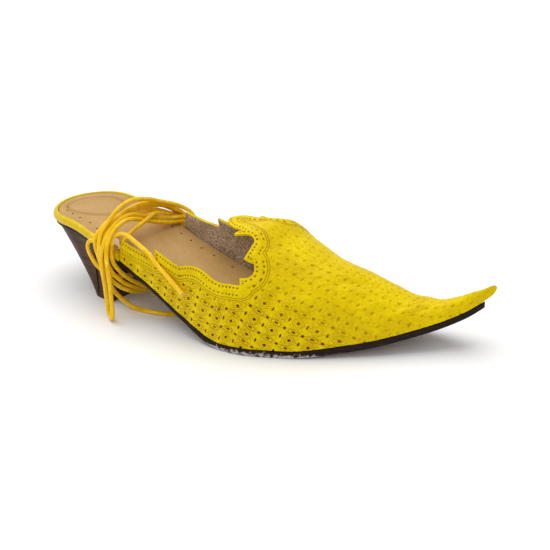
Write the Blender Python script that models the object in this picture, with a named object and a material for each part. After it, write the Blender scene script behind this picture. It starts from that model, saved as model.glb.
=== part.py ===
"""A leather slipper with a low raked heel, a curled toe and a leaf-shaped collar.

Metres. +X points to the toe, +Y to the inner side of the foot, +Z up. The shoe is the right one of
its pair. It stands on z = 0 on its heel and forefoot, and the origin lies under the middle of its
box, the lace left out. Inside the functions x runs from the back of the heel seat.
"""
import math

import bmesh
import bpy
import numpy as np
from mathutils import Vector

# Driving dimensions
MM = 0.001
LENGTH = 273 * MM  # back of the heel seat to the tip of the upper
TOE_OVERHANG = 5 * MM  # how far the upper's tip passes the sole
BALL_WIDTH = 75.8 * MM
BOW = 11 * MM  # how far the waist bows to the outer side
SWING = 42 * MM  # how far the tip of the toe swings to the inner side
HEEL_LIFT = 37.4 * MM  # heel seat over ball
TOE_LIFT = 26 * MM  # tip of the toe over ball
INSTEP = 56.5 * MM  # upper's ridge over the sole's edge at the throat
SOLE = 4 * MM
SOLE_CHAMFER = 0.6 * MM
INSOLE = 3 * MM
INSOLE_CHAMFER = 0.5 * MM
INSOLE_TOE_INSET = 3.2 * MM  # how much narrower the insole gets on each side towards the toe
LEATHER = 1.8 * MM
SEAM = 0.3 * MM  # clearance between two pieces that touch
RAND_BULGE = 0.7 * MM
RAND_OVER_INSOLE = 0.6 * MM
RAND_GAP = 0.5 * MM  # from the ends of the rand to the quarters
HEEL_INSET = 1.4 * MM
BREAST = 62.6 * MM  # front face of the heel
HEEL_BASE_LENGTH = 23 * MM
HEEL_BASE_WIDTH = 44 * MM
LACE = 2.6 * MM

# Shares of the length
SOLE_END = 1 - TOE_OVERHANG / LENGTH
SEAT_ROUND = 0.117  # where the round back of the heel seat ends
NOSE_ROUND = 0.022  # length of a rounded tip
INSOLE_NARROWS = 0.68
INSOLE_END = 0.93
CAVITY_DRAWS_BACK = 0.86  # from here the inside of the upper shortens against the outside
CAVITY_CLOSES = 0.90  # from here it rounds in
CAVITY_END = 0.972
QUARTER_BACK = 0.293
SIDE_BULGE = 0.03  # fullness of the upper's side, of half the width
HEEL_CURVE = 1.25  # hollow of the heel's back, where 1 is straight

# The last seen from above and from the side: half width as a share of half the ball width, bow and
# swing of the centre line as shares of BOW and SWING, and the height of the sole's upper edge as
# shares of HEEL_LIFT and TOE_LIFT.
LAST_COLUMNS = ("share", "width", "bow", "swing", "heel", "toe")
LAST = (
    (0.000, 0.673, 0.00, 0.000, 0.940, 0.000),
    (0.117, 0.673, 0.46, 0.000, 1.000, 0.000),
    (0.234, 0.723, 0.81, 0.000, 0.882, 0.000),
    (0.352, 0.749, 0.99, 0.000, 0.594, 0.000),
    (0.469, 0.860, 0.95, 0.006, 0.249, 0.000),
    (0.575, 0.980, 0.78, 0.042, 0.000, 0.000),
    (0.615, 1.000, 0.62, 0.053, 0.000, 0.000),
    (0.689, 0.905, 0.25, 0.075, 0.000, 0.000),
    (0.806, 0.644, 0.00, 0.305, 0.000, 0.138),
    (0.901, 0.361, 0.00, 0.629, 0.000, 0.385),
    (0.960, 0.158, 0.00, 0.829, 0.000, 0.654),
    (0.982, 0.075, 0.00, 0.914, 0.000, 0.827),
    (1.000, 0.000, 0.00, 1.000, 0.000, 1.000),
)

# The cone of the last: height of the ridge over the sole's edge as a share of INSTEP, the power
# that squares the section (1 is an ellipse), and how far the pattern leans to the vamp's own axis.
CONE_COLUMNS = ("share", "ridge", "power", "lean")
CONE = (
    (0.293, 0.673, 0.72, 0.00),
    (0.366, 0.733, 0.72, 0.00),
    (0.421, 0.784, 0.72, 0.08),
    (0.476, 0.848, 0.72, 0.17),
    (0.531, 0.959, 0.72, 0.17),
    (0.586, 1.000, 0.77, 0.17),
    (0.641, 0.853, 0.87, 0.17),
    (0.696, 0.720, 0.94, 0.11),
    (0.751, 0.602, 0.98, 0.04),
    (0.806, 0.435, 1.00, 0.00),
    (0.861, 0.265, 1.00, 0.00),
    (0.916, 0.175, 1.00, 0.00),
    (0.960, 0.163, 1.00, 0.00),
    (0.982, 0.126, 1.00, 0.00),
    (1.000, 0.104, 1.00, 0.00),
)

# Section of the rand: how far each corner lies inward, as a share of LEATHER, or outward, as a share
# of RAND_BULGE, and its height as a share of the rand's.
RAND_COLUMNS = ("inward", "outward", "up")
RAND_SECTION = (
    (1.00, 0.00, 0.00),
    (0.10, 0.00, 0.00),
    (0.00, 0.55, 0.12),
    (0.00, 1.00, 0.38),
    (0.00, 0.75, 0.68),
    (0.16, 0.00, 0.92),
    (0.50, 0.00, 1.00),
    (0.80, 0.00, 0.93),
    (1.00, 0.00, 0.75),
)

# Thickness of the outsole as a share of SOLE
SOLE_COLUMNS = ("share", "thickness")
SOLE_TABLE = (
    (0.000, 0.75),
    (0.234, 0.65),
    (0.420, 0.65),
    (0.540, 1.00),
    (0.700, 1.00),
    (1.000, 0.90),
)

# Half of the collar on the flat pattern, from the back of the quarter to the tip of the main leaf:
# share of the length, share of the half girth from sole to ridge, and the bow of the edge that
# leads here as a share of its chord (over 0 it is a hollow in the leather).
COLLAR_COLUMNS = ("along", "up", "bow")
COLLAR = (
    (0.302, 0.155, 0.00),  # back corner of the quarter
    (0.396, 0.215, 0.03),
    (0.394, 0.298, 0.00),  # first step
    (0.452, 0.308, 0.02),
    (0.520, 0.365, -0.15),
    (0.593, 0.390, 0.13),
    (0.590, 0.440, 0.00),  # second step
    (0.606, 0.625, 0.22),
    (0.589, 0.600, -0.15),  # shoulder
    (0.594, 0.790, 0.02),
    (0.562, 0.838, 0.22),
    (0.547, 0.820, -0.04),  # side leaf
    (0.557, 0.890, -0.14),
    (0.542, 0.908, 0.05),
    (0.504, 1.000, -0.13),  # main leaf
)
GIRTH = 78 * MM  # half girth at the throat, which sets the scale of the pattern across
PATTERN_STEP = 2.4 * MM  # spacing of the points along the collar
STATION_STEP = 5.5 * MM
TIP = 1.8 * MM  # length of the pattern's cut corner at the toe
ROWS_UP = (0.02, 0.06, 0.12, 0.2, 0.3, 0.4, 0.5, 0.6, 0.7, 0.8, 0.9)

# The lace, as points chosen by hand along each stretch, in mm from the back of the heel seat. The
# ring is the outer shape of the turns around the waist, with its breadth and depth at each point.
RING = (
    ((73.5, -43.4, 32.0), 11, 6),
    ((71.5, -41.3, 44.0), 11, 7),
    ((71.5, -29.5, 52.0), 11, 10),
    ((73.0, -16.0, 53.5), 10, 14),
    ((74.0, 0.0, 49.5), 9, 13),
    ((75.0, 12.8, 45.6), 9, 9),
    ((76.0, 24.0, 37.6), 8, 6),
    ((77.0, 25.0, 29.0), 9, 7),
    ((77.0, 19.5, 20.0), 9, 7),
    ((77.0, 9.0, 12.0), 8, 6),
    ((77.0, -6.0, 7.5), 8, 6),
    ((77.3, -20.0, 9.0), 7, 6),
    ((77.0, -30.5, 14.0), 7, 6),
    ((75.5, -39.5, 21.5), 7, 6),
)
LACE_ROUTES = {
    "lace_end": (
        (76.2, -37.0, 43.0),
        (79.6, -32.6, 43.2),
        (84.2, -31.0, 43.0),
        (89.4, -32.6, 42.8),
        (95.0, -35.7, 43.3),
        (100.0, -38.5, 43.9),
        (104.0, -40.8, 43.8),
        (108.2, -42.2, 42.6),
        (113.2, -43.2, 40.3),
        (118.7, -43.8, 38.0),
        (123.9, -44.2, 35.2),
        (129.0, -44.9, 32.0),
        (133.9, -45.6, 28.3),
    ),
    "lace_hanging_loop": (
        (74.6, -47.0, 27.5),
        (75.0, -46.6, 24.0),
        (75.8, -46.5, 16.0),
        (76.0, -46.6, 9.0),
        (76.9, -47.1, 4.2),
        (79.2, -48.4, 1.6),
        (82.0, -50.0, 1.7),
        (83.7, -50.9, 4.8),
        (83.9, -50.9, 10.0),
        (83.4, -50.4, 16.0),
        (82.0, -49.1, 22.0),
        (79.9, -47.4, 27.6),
    ),
    "lace_low_loop": (
        (82.6, 13.0, 9.6),
        (84.0, 11.0, 8.0),
        (93.0, 1.0, 3.0),
        (101.5, -8.0, 1.5),
        (107.0, -16.5, 1.4),
        (106.5, -24.0, 1.4),
        (100.5, -27.8, 1.4),
        (93.0, -29.8, 1.4),
        (86.0, -30.8, 1.4),
        (79.5, -31.2, 1.9),
        (74.8, -32.8, 5.0),
        (73.0, -36.5, 10.5),
        (74.2, -40.8, 16.5),
    ),
    "lace_heel_loop": (
        (69.4, -37.2, 21.8),
        (67.6, -39.4, 23.8),
        (63.0, -39.8, 26.4),
        (58.6, -38.9, 29.8),
        (55.4, -38.3, 34.0),
        (55.2, -38.1, 37.8),
        (58.0, -38.3, 40.2),
        (62.0, -39.8, 41.4),
        (65.4, -39.6, 43.6),
    ),
}
LACE_STEP = 6.5 * MM
RING_SECTIONS = 44
RING_CORNERS = 12


def monotone(rows, columns, name, share):
    """Smooth curve through one column of a table, with no overshoot between its rows."""
    table = np.array(rows, float)
    at = table[:, 0]
    value = table[:, columns.index(name)]
    run = np.diff(at)
    slope = np.diff(value) / run
    tangent = np.zeros(len(at))
    tangent[0] = slope[0]
    tangent[-1] = slope[-1]
    for i in range(1, len(at) - 1):
        if slope[i - 1] * slope[i] > 0:
            before = 2 * run[i] + run[i - 1]
            after = run[i] + 2 * run[i - 1]
            tangent[i] = (before + after) / (before / slope[i - 1] + after / slope[i])
    share = min(max(share, at[0]), at[-1])
    i = min(int(np.searchsorted(at, share, side="right")) - 1, len(at) - 2)
    t = (share - at[i]) / run[i]
    start = (1 + 2 * t) * (1 - t) ** 2 * value[i] + t * (1 - t) ** 2 * run[i] * tangent[i]
    end = t * t * (3 - 2 * t) * value[i + 1] + t * t * (t - 1) * run[i] * tangent[i + 1]
    return float(start + end)


def last(name, share):
    return monotone(LAST, LAST_COLUMNS, name, share)


def cone(name, share):
    return monotone(CONE, CONE_COLUMNS, name, share)


def half_width(share):
    return BALL_WIDTH / 2 * last("width", share)


def centre(share):
    return SWING * last("swing", share) - BOW * last("bow", share)


def sole_top(share):
    """Height of the sole's upper edge."""
    return SOLE + HEEL_LIFT * last("heel", share) + TOE_LIFT * last("toe", share)


def sole_bottom(share):
    return sole_top(share) - SOLE * monotone(SOLE_TABLE, SOLE_COLUMNS, "thickness", share)


def last_point(share, up, side, wall=0.0):
    """Point on the last, where up runs from the sole's edge (0) to the ridge (1).

    side is -1 on the outer side and 1 on the inner one. wall is how far the point lies inside the
    upper's surface. The inside ends short of the tip and closes there in a round.
    """
    angle = up * math.pi / 2
    lean = cone("lean", share) * half_width(share) * math.cos(angle) ** cone("power", share)
    place = share - side * lean / LENGTH
    power = cone("power", place)
    close = 1.0
    if wall:
        close = math.sqrt(max(0.0, 1 - smoothstep(CAVITY_CLOSES, 1.0, place) ** 2))
        place -= (1 - CAVITY_END) * smoothstep(CAVITY_DRAWS_BACK, 1.0, place)
    half = max(half_width(place) - wall, 0.0) * close
    ridge = INSTEP * cone("ridge", place) - wall
    out = side * half * (math.cos(angle) ** power + SIDE_BULGE * math.sin(2 * angle))
    rise = (ridge - SEAM) * math.sin(angle) ** power
    return Vector((place * LENGTH, centre(place) + out, sole_top(place) + SEAM + rise))


def smoothstep(start, end, value):
    t = min(max((value - start) / (end - start), 0.0), 1.0)
    return t * t * (3 - 2 * t)


def outline_point(share, side, inset, end):
    """Point on the sole's outline, moved inward by inset; the outline ends in a round at end."""
    def on_edge(at):
        at = max(at, 0.0)
        half = half_width(at)
        if at < SEAT_ROUND:
            half *= math.sqrt(max(0.0, 1 - ((SEAT_ROUND - at) / SEAT_ROUND) ** 2))
        return Vector((at * LENGTH, centre(at) + side * half, 0))

    step = 1e-4
    along = (on_edge(share + step) - on_edge(share - step)).normalized()
    point = on_edge(share) + inset * Vector((side * along.y, -side * along.x, 0))
    nose = end - NOSE_ROUND
    if share > nose:
        middle = Vector((share * LENGTH, centre(share), 0))
        point = middle.lerp(point, math.sqrt(max(0.0, 1 - ((share - nose) / NOSE_ROUND) ** 2)))
    return point


def sole_shares(end, count):
    """Shares of the length, closer together in the round of the seat and at the tip."""
    back = [SEAT_ROUND * (1 - math.cos(math.radians(a))) for a in (5, 15, 27, 40, 54, 70)]
    middle = [SEAT_ROUND + (end - NOSE_ROUND - SEAT_ROUND) * i / count for i in range(count + 1)]
    front = [end - NOSE_ROUND * (1 - math.sin(math.radians(a))) for a in (30, 55, 75)]
    return back + middle + front


def add_object(name, mesh, collection, material):
    part = bpy.data.objects.new(name, mesh)
    collection.objects.link(part)
    mesh.materials.append(material)
    return part


def mesh_from(bm, name, smooth_angle=40):
    bmesh.ops.recalc_face_normals(bm, faces=bm.faces)
    mesh = bpy.data.meshes.new(name)
    bm.to_mesh(mesh)
    bm.free()
    mesh.shade_smooth()
    mesh.set_sharp_from_angle(angle=math.radians(smooth_angle))
    return mesh


def loft(name, rings, closed=False, smooth_angle=40):
    """Skin over rings of equally many points, capped at both ends unless it closes on itself."""
    bm = bmesh.new()
    verts = [[bm.verts.new(point) for point in ring] for ring in rings]
    count = len(rings[0])
    last_ring = len(rings) if closed else len(rings) - 1
    for i in range(last_ring):
        here = verts[i]
        there = verts[(i + 1) % len(rings)]
        for j in range(count):
            k = (j + 1) % count
            bm.faces.new((here[j], here[k], there[k], there[j]))
    if not closed:
        bm.faces.new(verts[0])
        bm.faces.new(verts[-1])
    return mesh_from(bm, name, smooth_angle)


def slab_rings(shares, inset, end, bottom, top, chamfer, across=6):
    """Sections of a sheet that follows the sole, its edges chamfered."""
    rings = []
    for share in shares:
        near = outline_point(share, -1, inset(share), end)
        far = outline_point(share, 1, inset(share), end)
        cut = min(chamfer, 0.3 * (far - near).length)
        side = (far - near).normalized()

        def place(point, height):
            return Vector((point.x, point.y, height(point.x / LENGTH)))

        upper_row = [(near + cut * side).lerp(far - cut * side, i / across) for i in range(across + 1)]
        ring = [place(point, top) for point in upper_row]
        ring.append(place(far, top) - Vector((0, 0, cut)))
        ring.append(place(far, bottom) + Vector((0, 0, cut)))
        ring += [place(point, bottom) for point in reversed(upper_row)]
        ring.append(place(near, bottom) + Vector((0, 0, cut)))
        ring.append(place(near, top) - Vector((0, 0, cut)))
        rings.append(ring)
    return rings


def outsole_mesh():
    rings = slab_rings(
        sole_shares(SOLE_END, 34), lambda share: 0.0, SOLE_END, sole_bottom, sole_top, SOLE_CHAMFER
    )
    return loft("outsole", rings)


def insole_mesh():
    def inset(share):
        return LEATHER + SEAM + INSOLE_TOE_INSET * smoothstep(INSOLE_NARROWS, INSOLE_END, share)

    rings = slab_rings(
        sole_shares(INSOLE_END, 30),
        inset,
        INSOLE_END,
        lambda share: sole_top(share) + SEAM,
        lambda share: sole_top(share) + SEAM + INSOLE,
        INSOLE_CHAMFER,
    )
    return loft("insole", rings)


def heel_mesh():
    """Stacked heel, lofted from the seat's outline down to its small base on the floor."""
    breast_share = BREAST / LENGTH
    back = [SEAT_ROUND * (1 - math.cos(math.radians(a))) for a in (8, 20, 33, 46, 60, 75)]
    front = [SEAT_ROUND + (breast_share - SEAT_ROUND) * i / 4 for i in range(5)]
    shares = back + front
    widest = half_width(breast_share) - HEEL_INSET
    base_back = BREAST - HEEL_BASE_LENGTH
    levels = (0.0, 0.08, 0.2, 0.35, 0.5, 0.65, 0.8, 0.92, 1.0)
    rings = []
    for level in levels:
        blend = 1 - (1 - level) ** HEEL_CURVE
        ring = []
        for side, order in ((-1, shares), (1, shares[::-1])):
            for share in order:
                top = outline_point(share, side, HEEL_INSET, SOLE_END)
                top.x = min(top.x, BREAST)
                top.z = sole_bottom(top.x / LENGTH) - SEAM
                length_share = top.x / BREAST
                half = side * (top.y - centre(share)) * HEEL_BASE_WIDTH / 2 / widest
                base_y = centre(breast_share) + side * half
                base = Vector((base_back + HEEL_BASE_LENGTH * length_share, base_y, 0))
                point = top.lerp(base, blend)
                point.z = top.z + (base.z - top.z) * level
                ring.append(point)
        rings.append(ring)

    bm = bmesh.new()
    verts = [[bm.verts.new(point) for point in ring] for ring in rings]
    count = len(rings[0])
    for here, there in zip(verts, verts[1:]):
        for j in range(count):
            k = (j + 1) % count
            bm.faces.new((here[j], here[k], there[k], there[j]))
    for ring in (verts[0], verts[-1]):
        for j in range(count // 2 - 1):
            bm.faces.new((ring[j], ring[j + 1], ring[count - 2 - j], ring[count - 1 - j]))
    return mesh_from(bm, "heel", 35)


def rand_mesh():
    """Leather-covered roll around the edge of the insole, from quarter to quarter."""
    end = QUARTER_BACK - RAND_GAP / LENGTH
    side_shares = [SEAT_ROUND + (end - SEAT_ROUND) * i / 9 for i in range(10)]
    round_shares = [SEAT_ROUND * (1 - math.cos(math.radians(a))) for a in range(8, 90, 9)]
    path = [(share, -1) for share in reversed(round_shares + side_shares)]
    path += [(share, 1) for share in round_shares + side_shares]
    height = INSOLE + RAND_OVER_INSOLE
    rings = []
    for share, side in path:
        ring = []
        for inward, outward, up in RAND_SECTION:
            inset = LEATHER * inward - RAND_BULGE * outward
            point = outline_point(share, side, inset, SOLE_END)
            level = sole_top(max(point.x, 0.0) / LENGTH) + SEAM + height * up
            ring.append(Vector((point.x, point.y, level)))
        rings.append(ring)
    return loft("heel_rand", rings)


def bowed_edge(start, end, bow):
    """Points along a bowed edge of the pattern, the first left out."""
    chord = end - start
    steps = max(2, round(chord.length / PATTERN_STEP))
    right = Vector((chord.y, -chord.x)) * bow
    return [start + chord * t + right * 4 * t * (1 - t) for t in (i / steps for i in range(1, steps + 1))]


def collar_points():
    """The collar on the flat pattern, in metres along and across."""
    corners = [Vector((along * LENGTH, up * GIRTH)) for along, up, bow in COLLAR]
    points = [corners[0]]
    for i in range(1, len(corners)):
        points += bowed_edge(corners[i - 1], corners[i], COLLAR[i][2])
    return points


def pattern_mesh():
    """Half of the upper's flat pattern, cut along a grid so that it can follow the last."""
    outline = [Vector((QUARTER_BACK * LENGTH, 0))] + collar_points()
    outline += [Vector((LENGTH - TIP, GIRTH)), Vector((LENGTH, GIRTH * ROWS_UP[-1])), Vector((LENGTH, 0))]
    bm = bmesh.new()
    bm.faces.new([bm.verts.new((point.x, point.y, 0)) for point in outline])
    span = (1 - QUARTER_BACK) * LENGTH - TIP
    stations = round(span / STATION_STEP)
    cuts = [((LENGTH - TIP - span * i / stations, 0, 0), (1, 0, 0)) for i in range(stations)]
    cuts += [((0, GIRTH * up, 0), (0, 1, 0)) for up in ROWS_UP]
    for place, normal in cuts:
        everything = bm.verts[:] + bm.edges[:] + bm.faces[:]
        bmesh.ops.bisect_plane(bm, geom=everything, dist=1e-7, plane_co=place, plane_no=normal)
    bmesh.ops.remove_doubles(bm, verts=bm.verts[:], dist=0.35 * MM)
    bmesh.ops.triangulate(bm, faces=bm.faces[:], quad_method="BEAUTY", ngon_method="BEAUTY")
    return bm


def upper_mesh():
    """The upper: the pattern laid on both sides of the last, and a wall's thickness inside it."""
    pattern = pattern_mesh()
    pattern.verts.ensure_lookup_table()
    bm = bmesh.new()
    along = bm.verts.layers.float.new("along")
    up = bm.verts.layers.float.new("up")
    side_layer = bm.verts.layers.float.new("side")
    for side in (-1, 1):
        made = []
        for vert in pattern.verts:
            share = min(vert.co.x / LENGTH, 1.0)
            height = min(max(vert.co.y / GIRTH, 0.0), 1.0)
            new = bm.verts.new(last_point(share, height, side))
            new[along] = share
            new[up] = height
            new[side_layer] = side
            made.append(new)
        for face in pattern.faces:
            corners = [made[vert.index] for vert in face.verts]
            bm.faces.new(corners if side < 0 else corners[::-1])
    pattern.free()
    bmesh.ops.remove_doubles(bm, verts=bm.verts[:], dist=1e-6)
    outer_faces = bm.faces[:]
    rim = [edge for edge in bm.edges if edge.is_boundary]
    inner = {}
    for vert in list(bm.verts):
        inner[vert] = bm.verts.new(last_point(vert[along], vert[up], vert[side_layer], LEATHER))
    for face in outer_faces:
        bm.faces.new([inner[vert] for vert in reversed(face.verts)])
    for edge in rim:
        first, second = edge.verts
        bm.faces.new((first, second, inner[second], inner[first]))
    bmesh.ops.triangulate(bm, faces=[face for face in bm.faces if len(face.verts) > 3])
    return mesh_from(bm, "upper", 60)


def smooth_route(points, step, closed=False):
    """Points spaced evenly along a smooth curve through the route's own points."""
    route = [Vector(point) * MM for point in points]
    count = len(route)
    dense = []
    for i in range(count if closed else count - 1):
        if closed:
            a, b, c, d = (route[(i + k) % count] for k in (-1, 0, 1, 2))
        else:
            a, b, c, d = (route[min(max(i + k, 0), count - 1)] for k in (-1, 0, 1, 2))
        for j in range(20):
            t = j / 20
            pull = (2 * a - 5 * b + 4 * c - d) * t * t + (3 * b - a - 3 * c + d) * t ** 3
            dense.append((2 * b + (c - a) * t + pull) / 2)
    dense.append(route[0] if closed else route[-1])
    run = [0.0]
    for here, there in zip(dense, dense[1:]):
        run.append(run[-1] + (there - here).length)
    pieces = max(2, round(run[-1] / step))
    marks = [run[-1] * i / pieces for i in range(pieces if closed else pieces + 1)]
    flat = np.array([tuple(point) for point in dense])
    return [Vector([np.interp(mark, run, flat[:, axis]) for axis in range(3)]) for mark in marks]


def ring_mesh():
    """The wound turns of the lace as one closed band around the waist."""
    middle = Vector(np.mean([row[0] for row in RING], axis=0)) * MM
    path = smooth_route([row[0] for row in RING], 1 * MM, closed=True)
    pick = [path[round(i * len(path) / RING_SECTIONS) % len(path)] for i in range(RING_SECTIONS)]
    rings = []
    for i, point in enumerate(pick):
        ahead = (pick[(i + 1) % RING_SECTIONS] - pick[i - 1]).normalized()
        outward = point - middle
        outward = (outward - outward.dot(ahead) * ahead).normalized()
        broad = ahead.cross(outward)
        near = sorted(RING, key=lambda row: (Vector(row[0]) * MM - point).length)[:2]
        gaps = [(Vector(row[0]) * MM - point).length + 1e-6 for row in near]
        mix = gaps[0] / (gaps[0] + gaps[1])
        breadth = (near[0][1] * (1 - mix) + near[1][1] * mix) * MM
        depth = (near[0][2] * (1 - mix) + near[1][2] * mix) * MM
        ring = []
        for k in range(RING_CORNERS):
            turn = 2 * math.pi * k / RING_CORNERS
            wide = math.copysign(abs(math.cos(turn)) ** 0.7, math.cos(turn)) * breadth / 2
            deep = math.copysign(abs(math.sin(turn)) ** 0.7, math.sin(turn)) * depth / 2
            ring.append(point + broad * wide + outward * deep)
        rings.append(ring)
    return loft("lace_coil", rings, closed=True)


def lace_tube(name, points, collection, material):
    curve = bpy.data.curves.new(name, "CURVE")
    curve.dimensions = "3D"
    curve.bevel_depth = LACE / 2
    curve.bevel_resolution = 2
    curve.use_fill_caps = True
    path = smooth_route(points, LACE_STEP)
    spline = curve.splines.new("POLY")
    spline.points.add(len(path) - 1)
    for target, point in zip(spline.points, path):
        target.co = (*point, 1)
    return add_object(name, curve, collection, material)


def make_material(name, colour, roughness):
    material = bpy.data.materials.new(name)
    material.use_nodes = True
    shader = material.node_tree.nodes["Principled BSDF"]
    linear = [((c + 0.055) / 1.055) ** 2.4 if c > 0.04045 else c / 12.92 for c in colour]
    shader.inputs["Base Color"].default_value = (*linear, 1)
    shader.inputs["Roughness"].default_value = roughness
    material.diffuse_color = (*linear, 1)
    return material


def stand_on_origin(shoe, everything):
    """Move all pieces so that the origin lies under the middle of the shoe's box."""
    bpy.context.view_layer.update()
    corners = [part.matrix_world @ Vector(corner) for part in shoe for corner in part.bound_box]
    middle = [(min(c[axis] for c in corners) + max(c[axis] for c in corners)) / 2 for axis in (0, 1)]
    for part in everything:
        part.location = (-middle[0], -middle[1], 0)


def main():
    for part in list(bpy.data.objects):
        bpy.data.objects.remove(part)
    collection = bpy.data.collections.new("leather_slipper")
    bpy.context.scene.collection.children.link(collection)

    yellow = make_material("yellow_leather", (0.90, 0.80, 0.02), 0.45)
    lace = make_material("lace_leather", (0.93, 0.72, 0.04), 0.4)
    tan = make_material("insole_leather", (0.80, 0.66, 0.42), 0.6)
    dark = make_material("sole_leather", (0.22, 0.15, 0.12), 0.6)
    stack = make_material("heel_stack", (0.36, 0.22, 0.13), 0.55)

    shoe = [
        add_object("outsole", outsole_mesh(), collection, dark),
        add_object("heel", heel_mesh(), collection, stack),
        add_object("insole", insole_mesh(), collection, tan),
        add_object("heel_rand", rand_mesh(), collection, yellow),
        add_object("upper", upper_mesh(), collection, yellow),
    ]
    cords = [add_object("lace_coil", ring_mesh(), collection, lace)]
    for name, points in LACE_ROUTES.items():
        cords.append(lace_tube(name, points, collection, lace))
    stand_on_origin(shoe, shoe + cords)


main()
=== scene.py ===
# %% [markdown]
# A yellow leather slipper, dressed for its picture
#
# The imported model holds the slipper's solids at their real size. This lesson gives them their
# surface: punched and embossed goat leather, a suede lining, a tacked insole, a scuffed sole edge,
# a stacked heel, and one long leather lace wound round the waist.
# Every cell makes or measures one thing, so the script can be read from top to bottom.

import math

import bmesh
import bpy
import numpy as np
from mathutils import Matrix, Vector
from mathutils.bvhtree import BVHTree


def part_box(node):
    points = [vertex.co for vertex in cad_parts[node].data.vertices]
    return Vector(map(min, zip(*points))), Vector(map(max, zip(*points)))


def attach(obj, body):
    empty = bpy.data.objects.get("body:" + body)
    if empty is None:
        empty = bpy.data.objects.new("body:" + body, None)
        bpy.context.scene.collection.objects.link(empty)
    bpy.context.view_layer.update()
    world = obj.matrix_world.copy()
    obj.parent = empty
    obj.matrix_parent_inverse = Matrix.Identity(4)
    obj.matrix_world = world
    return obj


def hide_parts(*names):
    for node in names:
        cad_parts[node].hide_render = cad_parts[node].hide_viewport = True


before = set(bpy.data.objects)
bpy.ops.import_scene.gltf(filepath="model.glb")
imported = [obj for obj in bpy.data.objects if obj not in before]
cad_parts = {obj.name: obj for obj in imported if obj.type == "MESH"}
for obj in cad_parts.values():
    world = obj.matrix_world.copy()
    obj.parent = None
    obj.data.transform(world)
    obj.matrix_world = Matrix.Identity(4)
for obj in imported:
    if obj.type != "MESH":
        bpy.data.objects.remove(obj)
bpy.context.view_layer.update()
MM = 0.001
print("nodes:", ", ".join(sorted(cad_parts)))

# %% [markdown]
# The slipper's own sizes
#
# A shoemaker works from a last, and a last is a few sizes and some curves. The same sizes and
# tables shape the solids, so what is made here lies exactly on them. Tables hold shares of the
# length in their first column, and a smooth curve with no overshoot runs through each other column.

# %% Sizes and tables of the last
LENGTH = 273 * MM  # back of the heel seat to the tip of the upper
TOE_OVERHANG = 5 * MM
BALL_WIDTH = 75.8 * MM
BOW = 11 * MM
SWING = 42 * MM
HEEL_LIFT = 37.4 * MM
TOE_LIFT = 26 * MM
INSTEP = 56.5 * MM
SOLE = 4 * MM
SOLE_ROUND = 0.6 * MM
INSOLE = 3 * MM
INSOLE_TOE_INSET = 3.2 * MM
LEATHER = 1.8 * MM
SEAM = 0.3 * MM
RAND_BULGE = 1.2 * MM
RAND_OVER_INSOLE = 0.6 * MM
RAND_GAP = 0.5 * MM
HEEL_INSET = 1.4 * MM
BREAST = 62.6 * MM
HEEL_BASE_LENGTH = 23 * MM
HEEL_BASE_WIDTH = 44 * MM
LACE = 2.6 * MM
GIRTH = 78 * MM

SOLE_END = 1 - TOE_OVERHANG / LENGTH
SEAT_ROUND = 0.117
NOSE_ROUND = 0.022
INSOLE_NARROWS = 0.68
INSOLE_END = 0.93
CAVITY_DRAWS_BACK = 0.86
CAVITY_CLOSES = 0.90
CAVITY_END = 0.972
QUARTER_BACK = 0.293
SIDE_BULGE = 0.03
HEEL_CURVE = 1.25

LAST_COLUMNS = ("share", "width", "bow", "swing", "heel", "toe")
LAST = (
    (0.000, 0.673, 0.00, 0.000, 0.940, 0.000),
    (0.117, 0.673, 0.46, 0.000, 1.000, 0.000),
    (0.234, 0.723, 0.81, 0.000, 0.882, 0.000),
    (0.352, 0.749, 0.99, 0.000, 0.594, 0.000),
    (0.469, 0.860, 0.95, 0.006, 0.249, 0.000),
    (0.575, 0.980, 0.78, 0.042, 0.000, 0.000),
    (0.615, 1.000, 0.62, 0.053, 0.000, 0.000),
    (0.689, 0.905, 0.25, 0.075, 0.000, 0.000),
    (0.806, 0.644, 0.00, 0.305, 0.000, 0.138),
    (0.901, 0.361, 0.00, 0.629, 0.000, 0.385),
    (0.960, 0.158, 0.00, 0.829, 0.000, 0.654),
    (0.982, 0.075, 0.00, 0.914, 0.000, 0.827),
    (1.000, 0.000, 0.00, 1.000, 0.000, 1.000),
)
CONE_COLUMNS = ("share", "ridge", "power", "lean")
CONE = (
    (0.293, 0.673, 0.72, 0.00),
    (0.366, 0.733, 0.72, 0.00),
    (0.421, 0.784, 0.72, 0.08),
    (0.476, 0.848, 0.72, 0.17),
    (0.531, 0.959, 0.72, 0.17),
    (0.586, 1.000, 0.77, 0.17),
    (0.641, 0.853, 0.87, 0.17),
    (0.696, 0.720, 0.94, 0.11),
    (0.751, 0.602, 0.98, 0.04),
    (0.806, 0.435, 1.00, 0.00),
    (0.861, 0.265, 1.00, 0.00),
    (0.916, 0.175, 1.00, 0.00),
    (0.960, 0.163, 1.00, 0.00),
    (0.982, 0.126, 1.00, 0.00),
    (1.000, 0.104, 1.00, 0.00),
)
SOLE_COLUMNS = ("share", "thickness")
SOLE_TABLE = (
    (0.000, 0.75),
    (0.234, 0.65),
    (0.420, 0.65),
    (0.540, 1.00),
    (0.700, 1.00),
    (1.000, 0.90),
)
COLLAR = (
    # along, up, bow
    (0.302, 0.155, 0.00),  # back corner of the quarter
    (0.396, 0.215, 0.03),
    (0.394, 0.298, 0.00),  # first step
    (0.452, 0.308, 0.02),
    (0.520, 0.365, -0.15),
    (0.593, 0.390, 0.13),
    (0.590, 0.440, 0.00),  # second step
    (0.606, 0.625, 0.22),
    (0.589, 0.600, -0.15),  # shoulder
    (0.594, 0.790, 0.02),
    (0.562, 0.838, 0.22),
    (0.547, 0.820, -0.04),  # side leaf
    (0.557, 0.890, -0.14),
    (0.542, 0.908, 0.05),
    (0.504, 1.000, -0.13),  # main leaf
)


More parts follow.
